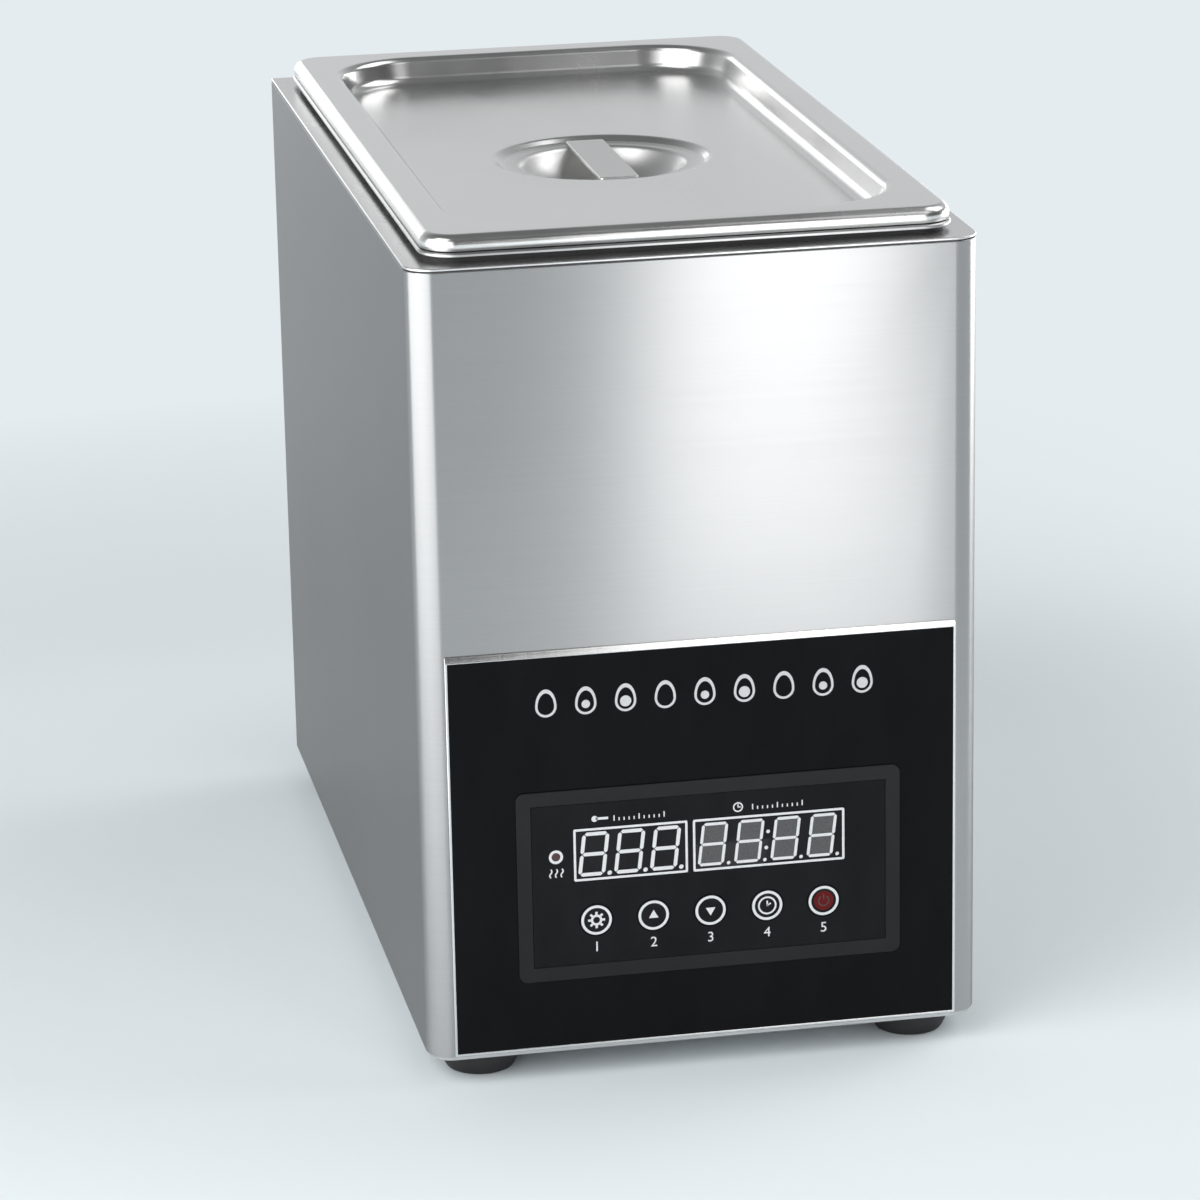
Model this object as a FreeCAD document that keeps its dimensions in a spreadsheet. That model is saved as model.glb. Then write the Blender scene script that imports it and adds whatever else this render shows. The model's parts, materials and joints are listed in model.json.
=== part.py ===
import FreeCAD, Part
import math
import os
import re

import Sketcher

# Commercial egg boiler: a stainless casing with a lift-off lid, a drawn water
# tank over an electronics compartment, an egg basket and a drain cock.
# Millimetres. +X is to the right, +Y to the back, +Z up. The origin is on the
# floor, under the middle of the whole appliance.

V = FreeCAD.Vector
document = FreeCAD.newDocument("EggBoiler")

# ---------------------------------------------------------------- sizes

SIZES = [
    # the appliance as a whole
    ("body_width", "190", "casing, side to side"),
    ("body_depth", "339", "bezel face to back panel"),
    ("drain_reach", "71", "back panel to the end of the drain cock"),
    ("casing_height", "271", "casing's lower edge to the deck"),
    ("foot_height", "8.4", "floor to the base tray"),
    # sheet-metal casing
    ("casing_sheet", "1.0", "thickness of the wrap-round casing"),
    ("casing_corner", "9", "outer radius of the two front corners"),
    ("rear_return", "12", "width of the casing's returns behind the back panel"),
    ("sheet_fit", "0.2", "play between nested sheets"),
    ("deck_sheet", "1.0", "thickness of the top deck"),
    ("deck_gap", "0.3", "shadow line under the deck"),
    ("deck_flange", "12", "depth of the deck's turned-down flange"),
    ("deck_side_ledge", "7", "deck left showing beside the lid"),
    ("deck_end_ledge", "6.25", "deck left showing before and behind the lid"),
    ("tray_sheet", "1.0", "thickness of the base tray"),
    ("tray_gap", "0.6", "shadow line over the base tray"),
    ("tray_flange", "14", "how far the tray's wall stands inside the casing"),
    ("tray_slot_length", "60", "length of a vent slot in the tray"),
    ("tray_slot_inset", "43", "middle of the vent slots from the casing's side"),
    ("tray_slot_width", "4", "width of a vent slot in the tray"),
    ("tray_slot_pitch", "12", "from one vent slot to the next"),
    ("tray_slot_count", "8", "vent slots in the tray"),
    ("back_sheet", "1.0", "thickness of the back panel"),
    ("louvre_length", "60", "length of a louvre"),
    ("louvre_reach", "3.5", "how far a louvre stands out"),
    ("louvre_rise", "8", "height of a louvre"),
    ("louvre_pitch", "12", "from one louvre to the next"),
    ("louvre_count", "6", "louvres in the column"),
    ("louvre_inset", "45", "middle of the column from the casing's side"),
    ("louvre_low", "22", "lowest louvre, above the casing's lower edge"),
    ("back_screw_radius", "1.6", "thread of a back panel screw"),
    ("back_screw_head", "3.6", "head radius of a back panel screw"),
    ("back_head_height", "2", "height of a back panel screw's head"),
    ("back_screw_length", "9", "length of a back panel screw under its head"),
    ("back_screw_margin", "20", "outer screws from the panel's top and bottom"),
    # feet
    ("foot_top_radius", "15", "foot where it meets the tray"),
    ("foot_sole_radius", "11.5", "foot where it stands"),
    ("foot_side_inset", "20", "foot's centre from the casing's side"),
    ("foot_end_inset", "18.5", "foot's centre from the casing's front or back"),
    ("foot_screw_radius", "2.5", "thread of a foot screw"),
    ("foot_screw_head", "4.8", "head radius of a foot screw"),
    ("foot_head_height", "3", "height of a foot screw's head"),
    ("foot_screw_sink", "4.2", "depth of the screw's recess in the sole"),
    ("foot_nut_across", "8", "foot nut across its flats"),
    ("foot_nut_height", "4", "height of a foot nut"),
    ("bolt_fit", "0.15", "radial play of a screw in its hole"),
    # lid
    ("lid_rise", "9", "lid's top over the deck"),
    ("lid_sheet", "0.8", "thickness of the lid"),
    ("lid_corner", "11", "corner radius of the lid's outline"),
    ("lid_gap", "0.9", "shadow gap between lid and tank rim"),
    ("lid_edge", "1.2", "break of the lid's upper edge"),
    ("recess_side_margin", "14.4", "lid's edge to the recess's wall, at the sides"),
    ("recess_end_margin", "16", "lid's edge to the recess's wall, front and back"),
    ("recess_depth", "9.6", "depth of the recess"),
    ("recess_corner", "30", "corner radius of the recess"),
    ("recess_brow", "2.4", "slope where the flange turns into the recess"),
    ("recess_foot", "4.4", "slope where the recess's wall meets its floor"),
    ("bowl_offset", "8", "finger bowl's centre before the lid's middle"),
    ("ledge_radius", "39", "shallow step round the finger bowl"),
    ("ledge_depth", "2", "step under the recess's floor"),
    ("ledge_slope", "3", "width of the step's sloped side"),
    ("bowl_radius", "30", "finger bowl at the step"),
    ("bowl_floor_radius", "16", "flat floor of the finger bowl"),
    ("bowl_depth", "12", "finger bowl under the step"),
    ("strap_width", "14", "width of the strap over the bowl"),
    ("strap_sheet", "1.5", "thickness of the strap"),
    ("strap_lap", "3", "how far the strap lies on the step"),
    ("lid_lift_travel", "120", "lift of the lid, used for the joint"),
    # tank
    ("rim_overhang", "0.6", "tank rim beyond the lid's edge"),
    ("rim_height", "2.0", "height of the rim's turned-down edge"),
    ("rim_break", "0.5", "break of the rim's upper edge"),
    ("seal_show", "1.4", "dark gap between deck and rim"),
    ("seal_inset", "2", "seal behind the rim's edge"),
    ("tank_sheet", "1.0", "thickness of the tank"),
    ("tank_depth", "150", "rim's top to the tank's floor"),
    ("tank_side_margin", "12", "rim's width beside the tank's mouth"),
    ("tank_end_margin", "12", "rim's width before and behind the mouth"),
    ("tank_corner", "28", "corner radius of the tank"),
    ("tank_foot", "8", "slope round the tank's floor"),
    ("deck_mouth_fit", "1", "play of the tank in the deck's opening"),
    # basket and its rest
    ("guard_height", "30", "element guard's top over the tank's floor"),
    ("guard_sheet", "1.2", "thickness of the element guard"),
    ("guard_side_gap", "3", "guard's leg from the slope round the floor"),
    ("guard_end_gap", "14", "guard from the tank's ends"),
    ("guard_slot_width", "6", "width of a slot in the guard"),
    ("guard_slot_pitch", "16", "from one guard slot to the next"),
    ("guard_slot_margin", "12", "guard slots from the guard's sides"),
    ("basket_rest_gap", "0.3", "basket over the guard"),
    ("basket_side_gap", "5", "basket's rim from the tank's wall"),
    ("basket_sheet", "1.0", "thickness of the basket"),
    ("basket_corner", "12", "corner radius of the basket"),
    ("basket_rim", "3", "width of the basket's rim"),
    ("basket_slot_width", "5", "width of a slot in the basket"),
    ("basket_slot_pitch", "14", "from one basket slot to the next"),
    ("basket_slot_margin", "14", "slots from the basket's rim and floor edges"),
    ("handle_width", "84", "basket handle, side to side"),
    ("handle_space", "0.9", "basket handles under the lid"),
    ("handle_rise", "21", "basket handle over the basket's rim"),
    ("handle_drop", "30", "basket handle down the basket's wall"),
    ("handle_bar", "7", "width of the handle's bar"),
    ("handle_sheet", "2", "thickness of the handle's bar"),
    ("handle_corner", "12", "outer corner radius of the handle"),
    # heating element, probe and cut-out
    ("element_radius", "4.25", "heating tube"),
    ("element_spread", "35", "heating tube's legs from the centre plane"),
    ("element_height", "15", "heating tube's axis over the tank's floor"),
    ("element_front_gap", "46", "hairpin's centre from the tank's front wall"),
    ("element_bend", "11", "radius where a leg turns down"),
    ("element_drop_from_rear", "74", "turned-down legs from the tank's rear wall"),
    ("element_tail", "20", "turned-down leg under the tank's floor"),
    ("bush_radius", "7", "threaded bush on the heating tube"),
    ("bush_across", "19", "bush's hexagon across its flats"),
    ("bush_head", "4", "height of the bush's hexagon"),
    ("bush_length", "14", "bush under its hexagon"),
    ("gasket", "1.5", "thickness of the sealing washers"),
    ("fit_play", "0.1", "radial play of threads and tubes in their seats"),
    ("fitting_nut", "5", "height of the nuts under the tank"),
    ("terminal_radius", "3.4", "ceramic head of the element"),
    ("terminal_length", "7", "length of the ceramic head"),
    ("pin_radius", "1.5", "element's terminal pin"),
    ("pin_length", "7", "length of the terminal pin"),
    ("probe_radius", "3", "temperature probe"),
    ("probe_length", "22", "probe over the tank's floor"),
    ("probe_tail", "16", "probe under the tank's floor"),
    ("probe_setback", "80", "probe behind the tank's front wall"),
    ("probe_across", "12", "probe's fitting across its flats"),
    ("cutout_radius", "11", "overheat cut-out"),
    ("cutout_height", "9", "height of the overheat cut-out"),
    ("cutout_cup", "8", "radius of the cut-out's metal cup"),
    ("cutout_cup_height", "3", "height of the cut-out's metal cup"),
    ("blade_sheet", "0.8", "thickness of a blade terminal"),
    ("blade_width", "6.3", "width of a blade terminal"),
    ("blade_length", "7", "length of a blade terminal"),
    ("blade_spread", "5", "blade terminals from the cut-out's axis"),
    ("cutout_setback", "120", "cut-out behind the tank's front wall"),
    # drain
    ("drain_bore", "6", "water way of the drain"),
    ("drain_tube", "10.4", "outer radius of the drain's tubes"),
    ("drain_flange", "16", "radius of the outlet's flange in the tank"),
    ("drain_flange_sheet", "2", "thickness of the outlet's flange"),
    ("drain_setback", "36", "outlet before the tank's rear wall"),
    ("drain_drop", "33", "drain pipe's axis under the tank"),
    ("drain_nut_across", "27", "nut under the tank across its flats"),
    ("elbow_radius", "13.5", "outer radius of the elbow's arms"),
    ("elbow_half", "14", "half of the elbow's square corner"),
    ("elbow_bore", "5.5", "elbow's water way to the back"),
    ("elbow_arm", "24", "elbow's arms from its corner"),
    ("elbow_socket", "8", "depth of the elbow's sockets"),
    ("grommet_radius", "14", "grommet in the back panel"),
    ("grommet_lap", "2", "grommet's lips over the back panel"),
    ("grommet_width", "5", "length of the grommet"),
    ("cock_standoff", "7", "pipe showing between back panel and cock"),
    ("cock_across", "27", "cock's end hexagons across their flats"),
    ("cock_hex", "13", "length of an end hexagon"),
    ("cock_waist", "11.5", "radius of the cock's body between its hexagons"),
    ("cock_socket", "9", "depth of the cock's pipe socket"),
    ("outlet_thread", "9.3", "bore of the threaded outlet"),
    ("outlet_depth", "12", "depth of the threaded outlet"),
    ("plug_barrel", "13", "outer radius of the upright barrel"),
    ("plug_barrel_half", "15", "upright barrel over and under the pipe's axis"),
    ("plug_top", "9.2", "radius of the plug's upper end"),
    ("plug_bottom", "7.8", "radius of the plug's lower end"),
    ("plug_port", "5", "radius of the plug's water way"),
    ("plug_play", "0.05", "running play of the plug"),
    ("plug_neck", "4.5", "radius of the plug's neck"),
    ("plug_neck_length", "12", "neck over the barrel"),
    ("plug_tail", "3", "radius of the plug's threaded tail"),
    ("plug_tail_length", "9", "tail under the barrel"),
    ("keeper_radius", "10", "washer under the barrel"),
    ("keeper_sheet", "1.6", "thickness of that washer"),
    ("keeper_nut_across", "11", "nut under the washer across its flats"),
    ("keeper_nut_height", "4.5", "height of that nut"),
    ("lever_hub", "8.5", "radius of the lever's hub"),
    ("lever_lift", "2.5", "lever's hub over the barrel"),
    ("lever_sheet", "5", "thickness of the lever"),
    ("lever_width", "11", "width of the lever's arm"),
    ("lever_corner", "5", "corner radius of the lever's tip"),
    ("lever_length", "68", "lever's tip from the plug's axis"),
    ("grip_length", "38", "length of the lever's grip"),
    ("grip_wall", "1.5", "thickness of the grip"),
    ("lever_nut_across", "10", "lever's cap nut across its flats"),
    ("lever_nut_height", "5", "height of the lever's cap nut"),
    # control panel
    ("panel_side_margin", "9.5", "black panel from the casing's sides"),
    ("panel_height", "137", "height of the black panel"),
    ("panel_sill", "1.5", "black panel over the casing's lower edge"),
    ("panel_sheet", "0.8", "thickness of the black panel"),
    ("trim_sheet", "1.0", "how far the trim stands out"),
    ("trim_side", "0.9", "width of the trim beside and under the panel"),
    ("trim_brow", "0.3", "upright strip under the trim's slope"),
    ("trim_edge", "0.2", "trim's thickness along its upper edge"),
    ("trim_top", "2.4", "width of the sloped trim over the panel"),
    ("bezel_width", "131", "width of the display bezel"),
    ("bezel_height", "67", "height of the display bezel"),
    ("bezel_border", "5", "border round the key overlay"),
    ("bezel_lip", "0.7", "thickness of the bezel's border"),
    ("bezel_shift", "1.5", "bezel to the right of the centre plane"),
    ("bezel_low", "25", "bezel over the casing's lower edge"),
    ("bezel_corner", "3", "corner radius of the bezel"),
    ("overlay_sheet", "0.4", "thickness of the key overlay"),
    ("overlay_sink", "0.2", "overlay's face behind the bezel's face"),
    ("housing_side", "6", "housing's box behind the bezel's edge"),
    ("housing_depth", "22", "bezel face to the housing's rear edge"),
    ("housing_wall", "2", "wall of the housing"),
    ("housing_fit", "0.5", "housing's box in the panel's window"),
    ("post_radius", "3", "board posts in the housing"),
    ("post_side_inset", "7.5", "board posts from the box's sides"),
    ("post_end_inset", "6", "board posts from the box's top and bottom"),
    ("post_screw", "1.25", "thread of a board screw"),
    ("post_screw_head", "2.5", "head radius of a board screw"),
    ("post_head_height", "1.6", "height of a board screw's head"),
    ("post_screw_grip", "4", "board screw in its post"),
    ("board_setback", "9", "bezel face to the controller board"),
    ("board_sheet", "1.6", "thickness of a circuit board"),
    ("display_height", "18.4", "height of both displays"),
    ("temperature_width", "38.8", "width of the three-digit display"),
    ("timer_width", "52", "width of the four-digit display"),
    ("display_space", "1.8", "between the displays"),
    ("display_raise", "10.4", "displays over the bezel's middle"),
    ("display_fit", "0.2", "display in its window"),
    ("display_rim", "0.8", "raised rim round a display's face"),
    ("display_face", "0.3", "display's face behind its rim"),
    ("lamp_radius", "2.4", "heating lamp"),
    ("lamp_space", "6", "lamp's centre from the displays"),
    ("key_radius", "5.65", "key"),
    ("key_pitch", "19.5", "from one key to the next"),
    ("key_drop", "13", "keys under the bezel's middle"),
    ("key_fit", "0.15", "radial play of a key in its hole"),
    ("key_travel", "0.5", "travel of a key"),
    ("key_collar", "7.4", "half width of the key's collar"),
    ("collar_sheet", "0.8", "thickness of the key's collar"),
    ("collar_height", "4", "height of the key's collar"),
    ("key_stem", "1.5", "half width of the key's stem"),
    ("switch_size", "6", "side of a key switch"),
    ("switch_height", "3.5", "height of a key switch"),
    ("plunger_radius", "1.7", "switch's plunger"),
    ("plunger_height", "0.6", "switch's plunger over its case"),
    ("back_cover", "2", "thickness of the housing's rear cover"),
    ("socket_width", "24", "ribbon socket on the controller board"),
    ("socket_height", "10", "height of the ribbon socket"),
    ("clamp_width", "14", "width of a housing clamp"),
    ("clamp_foot", "12", "clamp's foot on the casing"),
    ("clamp_sheet", "1.5", "thickness of a clamp"),
    # power electronics
    ("power_length", "110", "power board, front to back"),
    ("power_width", "84", "power board, side to side"),
    ("power_inset", "65", "power board's middle from the casing's side"),
    ("power_setback", "160", "power board's middle behind the casing's front"),
    ("standoff_height", "10", "power board over the tray"),
    ("standoff_radius", "3", "standoff"),
    ("snap_radius", "1.85", "standoff's snap head over the board"),
    ("snap_height", "2.4", "height of the snap head"),
    ("snap_play", "0.1", "snap head over the board"),
    ("standoff_inset", "6", "standoffs from the board's edges"),
    ("relay_left", "8", "relay from the board's left edge"),
    ("relay_rear", "14", "relay from the board's rear edge"),
    ("relay_ear", "5", "how far the relay's ears reach"),
    ("relay_ear_width", "8", "width of the relay's ears"),
    ("relay_ear_sheet", "2", "thickness of the relay's ears"),
    ("relay_length", "32", "heater relay, front to back"),
    ("relay_width", "27", "heater relay, side to side"),
    ("relay_height", "24", "height of the heater relay"),
    ("core_length", "36", "transformer core"),
    ("core_width", "24", "transformer core's stack"),
    ("core_height", "30", "height of the transformer core"),
    ("core_right", "10", "transformer from the board's right edge"),
    ("coil_inset", "7", "coil from the core's sides"),
    ("coil_lift", "5", "coil over the board"),
    ("coil_overhang", "7", "transformer coil beyond its core"),
    ("block_length", "46", "terminal block"),
    ("block_width", "14", "depth of the terminal block"),
    ("block_height", "15", "height of the terminal block"),
    ("block_ways", "5", "terminals in the block"),
    ("block_near", "3", "terminal block from the board's front edge"),
    ("block_wall", "2", "wall round a terminal's mouth"),
    ("block_mouth", "6", "height of a terminal's mouth"),
    # cable gland
    ("gland_inset", "35", "cable gland from the casing's side"),
    ("gland_low", "32", "cable gland over the casing's lower edge"),
    ("gland_bore", "4.2", "cable's hole"),
    ("gland_thread", "8", "gland's thread"),
    ("gland_across", "21", "gland's hexagon across its flats"),
    ("gland_hex", "5", "length of the gland's hexagon"),
    ("gland_inside", "11", "thread inside the casing"),
    ("gland_outside", "8", "thread outside the hexagon"),
    ("gland_cap", "13", "length of the clamping nut"),
    ("gland_nose", "4", "round nose of the clamping nut"),
    ("gland_mouth", "4.6", "hole in the clamping nut"),
    ("gland_wall", "1", "wall of the clamping nut's nose"),
    ("locknut_sheet", "4", "thickness of the gland's locknut"),
]

# Places and sizes that follow from the sheet above.
PLACES = [
    ("side", "body_width / 2"),
    ("front", "-(body_depth + drain_reach) / 2"),
    ("rear", "front + body_depth"),
    ("outlet_end", "rear + drain_reach"),
    ("casing_front", "front + bezel_lip + panel_sheet"),
    ("tray_top", "foot_height + tray_sheet"),
    ("casing_bottom", "tray_top + tray_gap"),
    ("deck_top", "casing_bottom + casing_height"),
    ("deck_under", "deck_top - deck_sheet"),
    ("casing_top", "deck_under - deck_gap"),
    ("wall_x", "side - casing_sheet"),
    ("return_y", "rear - back_sheet - casing_sheet"),
    ("louvre_centre", "louvre_inset - side"),
    ("tray_slot_centre", "side - tray_slot_inset"),
    ("nest_x", "wall_x - sheet_fit"),
    ("nest_front", "casing_front + casing_sheet + sheet_fit"),
    ("nest_rear", "return_y - sheet_fit"),
    ("nest_corner", "casing_corner - casing_sheet - sheet_fit"),
    ("foot_x", "side - foot_side_inset"),
    ("foot_front_y", "casing_front + foot_end_inset"),
    ("foot_rear_y", "rear - foot_end_inset"),
    # lid and tank, which share a centre on the deck
    ("middle_y", "(casing_front + rear) / 2"),
    ("lid_x", "side - deck_side_ledge"),
    ("lid_half_y", "(rear - casing_front) / 2 - deck_end_ledge"),
    ("lid_top", "deck_top + lid_rise"),
    ("recess_x", "lid_x - recess_side_margin"),
    ("recess_half_y", "lid_half_y - recess_end_margin"),
    ("recess_floor", "lid_top - recess_depth"),
    ("ledge_top", "recess_floor - ledge_depth"),
    ("bowl_floor", "ledge_top - bowl_depth"),
    ("bowl_y", "middle_y - bowl_offset"),
    ("rim_low", "deck_top + seal_show"),
    ("rim_top", "rim_low + rim_height"),
    ("lid_low", "rim_top + lid_gap"),
    ("mouth_x", "lid_x - tank_side_margin"),
    ("mouth_half_y", "lid_half_y - tank_end_margin"),
    ("tank_floor", "rim_top - tank_depth"),
    ("tank_under", "tank_floor - tank_sheet"),
    ("tank_front", "middle_y - mouth_half_y"),
    ("tank_rear", "middle_y + mouth_half_y"),
    ("guard_x", "mouth_x - tank_foot - guard_side_gap"),
    ("guard_half_y", "mouth_half_y - guard_end_gap"),
    ("guard_top", "tank_floor + guard_height"),
    ("basket_x", "mouth_x - basket_side_gap - basket_rim"),
    ("basket_half_y", "mouth_half_y - basket_side_gap - basket_rim"),
    ("basket_low", "guard_top + basket_rest_gap"),
    ("handle_top", "recess_floor - lid_sheet - handle_space"),
    ("basket_top", "handle_top - handle_rise"),
    ("element_z", "tank_floor + element_height"),
    ("hairpin_y", "tank_front + element_front_gap"),
    ("drop_y", "tank_rear - element_drop_from_rear"),
    ("probe_y", "tank_front + probe_setback"),
    ("cutout_y", "tank_front + cutout_setback"),
    # drain
    ("drain_y", "tank_rear - drain_setback"),
    ("drain_z", "tank_under - drain_drop"),
    ("cock_y", "rear + cock_standoff"),
    ("plug_y", "(cock_y + outlet_end) / 2"),
    ("barrel_top", "drain_z + plug_barrel_half"),
    ("barrel_low", "drain_z - plug_barrel_half"),
    ("lever_low", "barrel_top + lever_lift"),
    # control panel
    ("panel_x", "side - panel_side_margin"),
    ("panel_low", "casing_bottom + panel_sill"),
    ("panel_top", "panel_low + panel_height"),
    ("panel_face", "casing_front - panel_sheet"),
    ("bezel_half", "bezel_width / 2"),
    ("bezel_z", "casing_bottom + bezel_low + bezel_height / 2"),
    ("overlay_face", "front + overlay_sink"),
    ("overlay_back", "overlay_face + overlay_sheet"),
    ("overlay_half_x", "bezel_width / 2 - bezel_border"),
    ("overlay_half_z", "bezel_height / 2 - bezel_border"),
    ("box_half_x", "bezel_width / 2 - housing_side"),
    ("box_half_z", "bezel_height / 2 - housing_side"),
    ("box_rear", "front + housing_depth"),
    ("front_wall_back", "overlay_back + housing_wall"),
    ("board_front", "front + board_setback"),
    ("board_back", "board_front + board_sheet"),
    ("post_x", "box_half_x - post_side_inset"),
    ("post_z", "box_half_z - post_end_inset"),
    ("displays_left", "bezel_shift - (temperature_width + display_space + timer_width) / 2"),
    ("timer_left", "displays_left + temperature_width + display_space"),
    ("display_low", "bezel_z + display_raise - display_height / 2"),
    ("lamp_x", "displays_left - lamp_space"),
    ("lamp_z", "bezel_z + display_raise"),
    ("key_z", "bezel_z - key_drop"),
    ("first_key_x", "bezel_shift - 2 * key_pitch"),
    ("plunger_tip", "board_front - switch_height - plunger_height"),
    # power board
    ("power_low", "tray_top + standoff_height"),
    ("power_top", "power_low + board_sheet"),
    ("power_y", "casing_front + power_setback"),
    ("power_left", "power_inset - side - power_width / 2"),
    ("power_near", "power_y - power_length / 2"),
    ("gland_x", "side - gland_inset"),
    ("gland_z", "casing_bottom + gland_low"),
]

sizes = document.addObject("Spreadsheet::Sheet", "Sizes")
for row, (alias, number, meaning) in enumerate(SIZES, start=1):
    sizes.set(f"A{row}", alias)
    sizes.set(f"B{row}", number)
    sizes.set(f"C{row}", meaning)
    sizes.setAlias(f"B{row}", alias)
document.recompute()

places = document.addObject("App::VarSet", "Places")
OWNERS = {alias: f"Sizes.{alias}" for alias, _, _ in SIZES}
OWNERS.update({name: f"Places.{name}" for name, _ in PLACES})
WORD = re.compile(r"[a-z][a-z_]*[a-z]")


def spelled(text):
    """Write an expression's names in full, as the document wants them."""
    return WORD.sub(lambda found: OWNERS.get(found.group(), found.group()), text)


for name, text in PLACES:
    places.addProperty("App::PropertyFloat", name, "Places")
    places.setExpression(name, spelled(text))
    document.recompute()


def number(text):
    """The value that an expression has now."""
    return float(sizes.evalExpression(spelled(text)))


def bind(item, field, text):
    item.setExpression(field, spelled(text))


# ---------------------------------------------------------------- makers

PIECES = []
TURNS = {
    "z": FreeCAD.Rotation(),
    "y": FreeCAD.Rotation(V(1, 0, 0), -90),
    "x": FreeCAD.Rotation(V(0, 1, 0), 90),
}


def piece(item, label):
    """Name a finished sub-part and keep it for the hand-over."""
    item.Label = label
    PIECES.append(item)
    return item


def place(item, x, y, z, along="z"):
    item.Placement = FreeCAD.Placement(V(), TURNS[along])
    for axis, text in zip("xyz", (x, y, z)):
        bind(item, f"Placement.Base.{axis}", text)
    return item


def block(x, y, z, width, depth, height):
    """A box from its low corner."""
    item = document.addObject("Part::Box", "Block")
    bind(item, "Length", width)
    bind(item, "Width", depth)
    bind(item, "Height", height)
    return place(item, x, y, z)


def rod(x, y, z, radius, length, along="z"):
    item = document.addObject("Part::Cylinder", "Rod")
    bind(item, "Radius", radius)
    bind(item, "Height", length)
    return place(item, x, y, z, along)


def cone(x, y, z, low_radius, high_radius, length):
    item = document.addObject("Part::Cone", "Cone")
    bind(item, "Radius1", low_radius)
    bind(item, "Radius2", high_radius)
    bind(item, "Height", length)
    return place(item, x, y, z)


def hexagon(x, y, z, across, length, along="z"):
    """A hexagonal prism, measured across its flats."""
    item = document.addObject("Part::Prism", "Hexagon")
    item.Polygon = 6
    bind(item, "Circumradius", f"({across}) / sqrt(3)")
    bind(item, "Height", length)
    return place(item, x, y, z, along)


def bend(x, y, z, radius, tube, turn, rotation):
    """Part of a ring: the tube of a bend of the given turn, in degrees."""
    item = document.addObject("Part::Torus", "Bend")
    bind(item, "Radius1", radius)
    bind(item, "Radius2", tube)
    item.Angle3 = turn
    item = place(item, x, y, z)
    item.Placement = FreeCAD.Placement(item.Placement.Base, rotation)
    return item


def fuse(*items):
    item = document.addObject("Part::MultiFuse", "Fuse")
    item.Shapes = list(items)
    return item


def cut(base, *tools):
    item = document.addObject("Part::Cut", "Cut")
    item.Base = base
    item.Tool = tools[0] if len(tools) == 1 else fuse(*tools)
    return item


def group(*items):
    """Like pieces that share one sub-part, each a solid of its own."""
    item = document.addObject("Part::Compound", "Group")
    item.Links = list(items)
    return item


def body_named(name):
    return document.addObject("PartDesign::Body", name)


def sketch_on(body, role, offset="0"):
    """A sketch on one of the body's own planes, moved along its normal."""
    sketch = body.newObject("Sketcher::SketchObject", "Sketch")
    plane = [item for item in body.Origin.OriginFeatures if item.Role == role][0]
    sketch.AttachmentSupport = [(plane, "")]
    sketch.MapMode = "FlatFace"
    bind(sketch, "AttachmentOffset.Base.z", offset)
    return sketch


def pin(sketch, line, end, x, y):
    """Hold one end of a line at a place given by two expressions."""
    for kind, text in (("DistanceX", x), ("DistanceY", y)):
        rule = Sketcher.Constraint(kind, -1, 1, line, end, number(text))
        bind(sketch, f"Constraints[{sketch.addConstraint(rule)}]", text)


def polygon(sketch, corners):
    """A closed outline through corners given as pairs of expressions."""
    first = sketch.GeometryCount
    points = [V(number(x), number(y), 0) for x, y in corners]
    for here, there in zip(points, points[1:] + points[:1]):
        sketch.addGeometry(Part.LineSegment(here, there), False)
    for step, (x, y) in enumerate(corners):
        following = first + (step + 1) % len(corners)
        sketch.addConstraint(Sketcher.Constraint("Coincident", first + step, 2, following, 1))
        pin(sketch, first + step, 1, x, y)
    return sketch


def rectangle(sketch, left, right, low, high):
    return polygon(sketch, [(left, low), (right, low), (right, high), (left, high)])


def rounded(sketch, left, right, low, high, radius):
    """A rectangle with four round corners."""
    first = sketch.GeometryCount
    inner_left, inner_right = f"({left}) + ({radius})", f"({right}) - ({radius})"
    inner_low, inner_high = f"({low}) + ({radius})", f"({high}) - ({radius})"
    sides = [
        ((inner_left, low), (inner_right, low)),
        ((right, inner_low), (right, inner_high)),
        ((inner_right, high), (inner_left, high)),
        ((left, inner_high), (left, inner_low)),
    ]
    centres = [
        (inner_right, inner_low, -90),
        (inner_right, inner_high, 0),
        (inner_left, inner_high, 90),
        (inner_left, inner_low, 180),
    ]
    for here, there in sides:
        ends = [V(number(x), number(y), 0) for x, y in (here, there)]
        sketch.addGeometry(Part.LineSegment(*ends), False)
    for x, y, start in centres:
        circle = Part.Circle(V(number(x), number(y), 0), V(0, 0, 1), number(radius))
        span = (math.radians(start), math.radians(start + 90))
        sketch.addGeometry(Part.ArcOfCircle(circle, *span), False)
    for step, (here, there) in enumerate(sides):
        line, arc = first + step, first + 4 + step
        pin(sketch, line, 1, *here)
        pin(sketch, line, 2, *there)
        following = first + (step + 1) % 4
        sketch.addConstraint(Sketcher.Constraint("Coincident", line, 2, arc, 1))
        sketch.addConstraint(Sketcher.Constraint("Coincident", arc, 2, following, 1))
        rule = Sketcher.Constraint("Radius", arc, number(radius))
        bind(sketch, f"Constraints[{sketch.addConstraint(rule)}]", radius)
    return sketch


def hole(sketch, x, y, radius):
    """A circle in a sketch."""
    circle = Part.Circle(V(number(x), number(y), 0), V(0, 0, 1), number(radius))
    index = sketch.addGeometry(circle, False)
    pin(sketch, index, 3, x, y)
    rule = Sketcher.Constraint("Radius", index, number(radius))
    bind(sketch, f"Constraints[{sketch.addConstraint(rule)}]", radius)
    return sketch


def extrude(kind, body, sketch, length, reverse=False):
    feature = body.newObject(f"PartDesign::{kind}", kind)
    feature.Profile = (sketch, [""])
    bind(feature, "Length", length)
    feature.Reversed = reverse
    return feature


def pad(body, sketch, length, reverse=False):
    return extrude("Pad", body, sketch, length, reverse)


def pocket(body, sketch, length, reverse=False):
    return extrude("Pocket", body, sketch, length, reverse)


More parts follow.
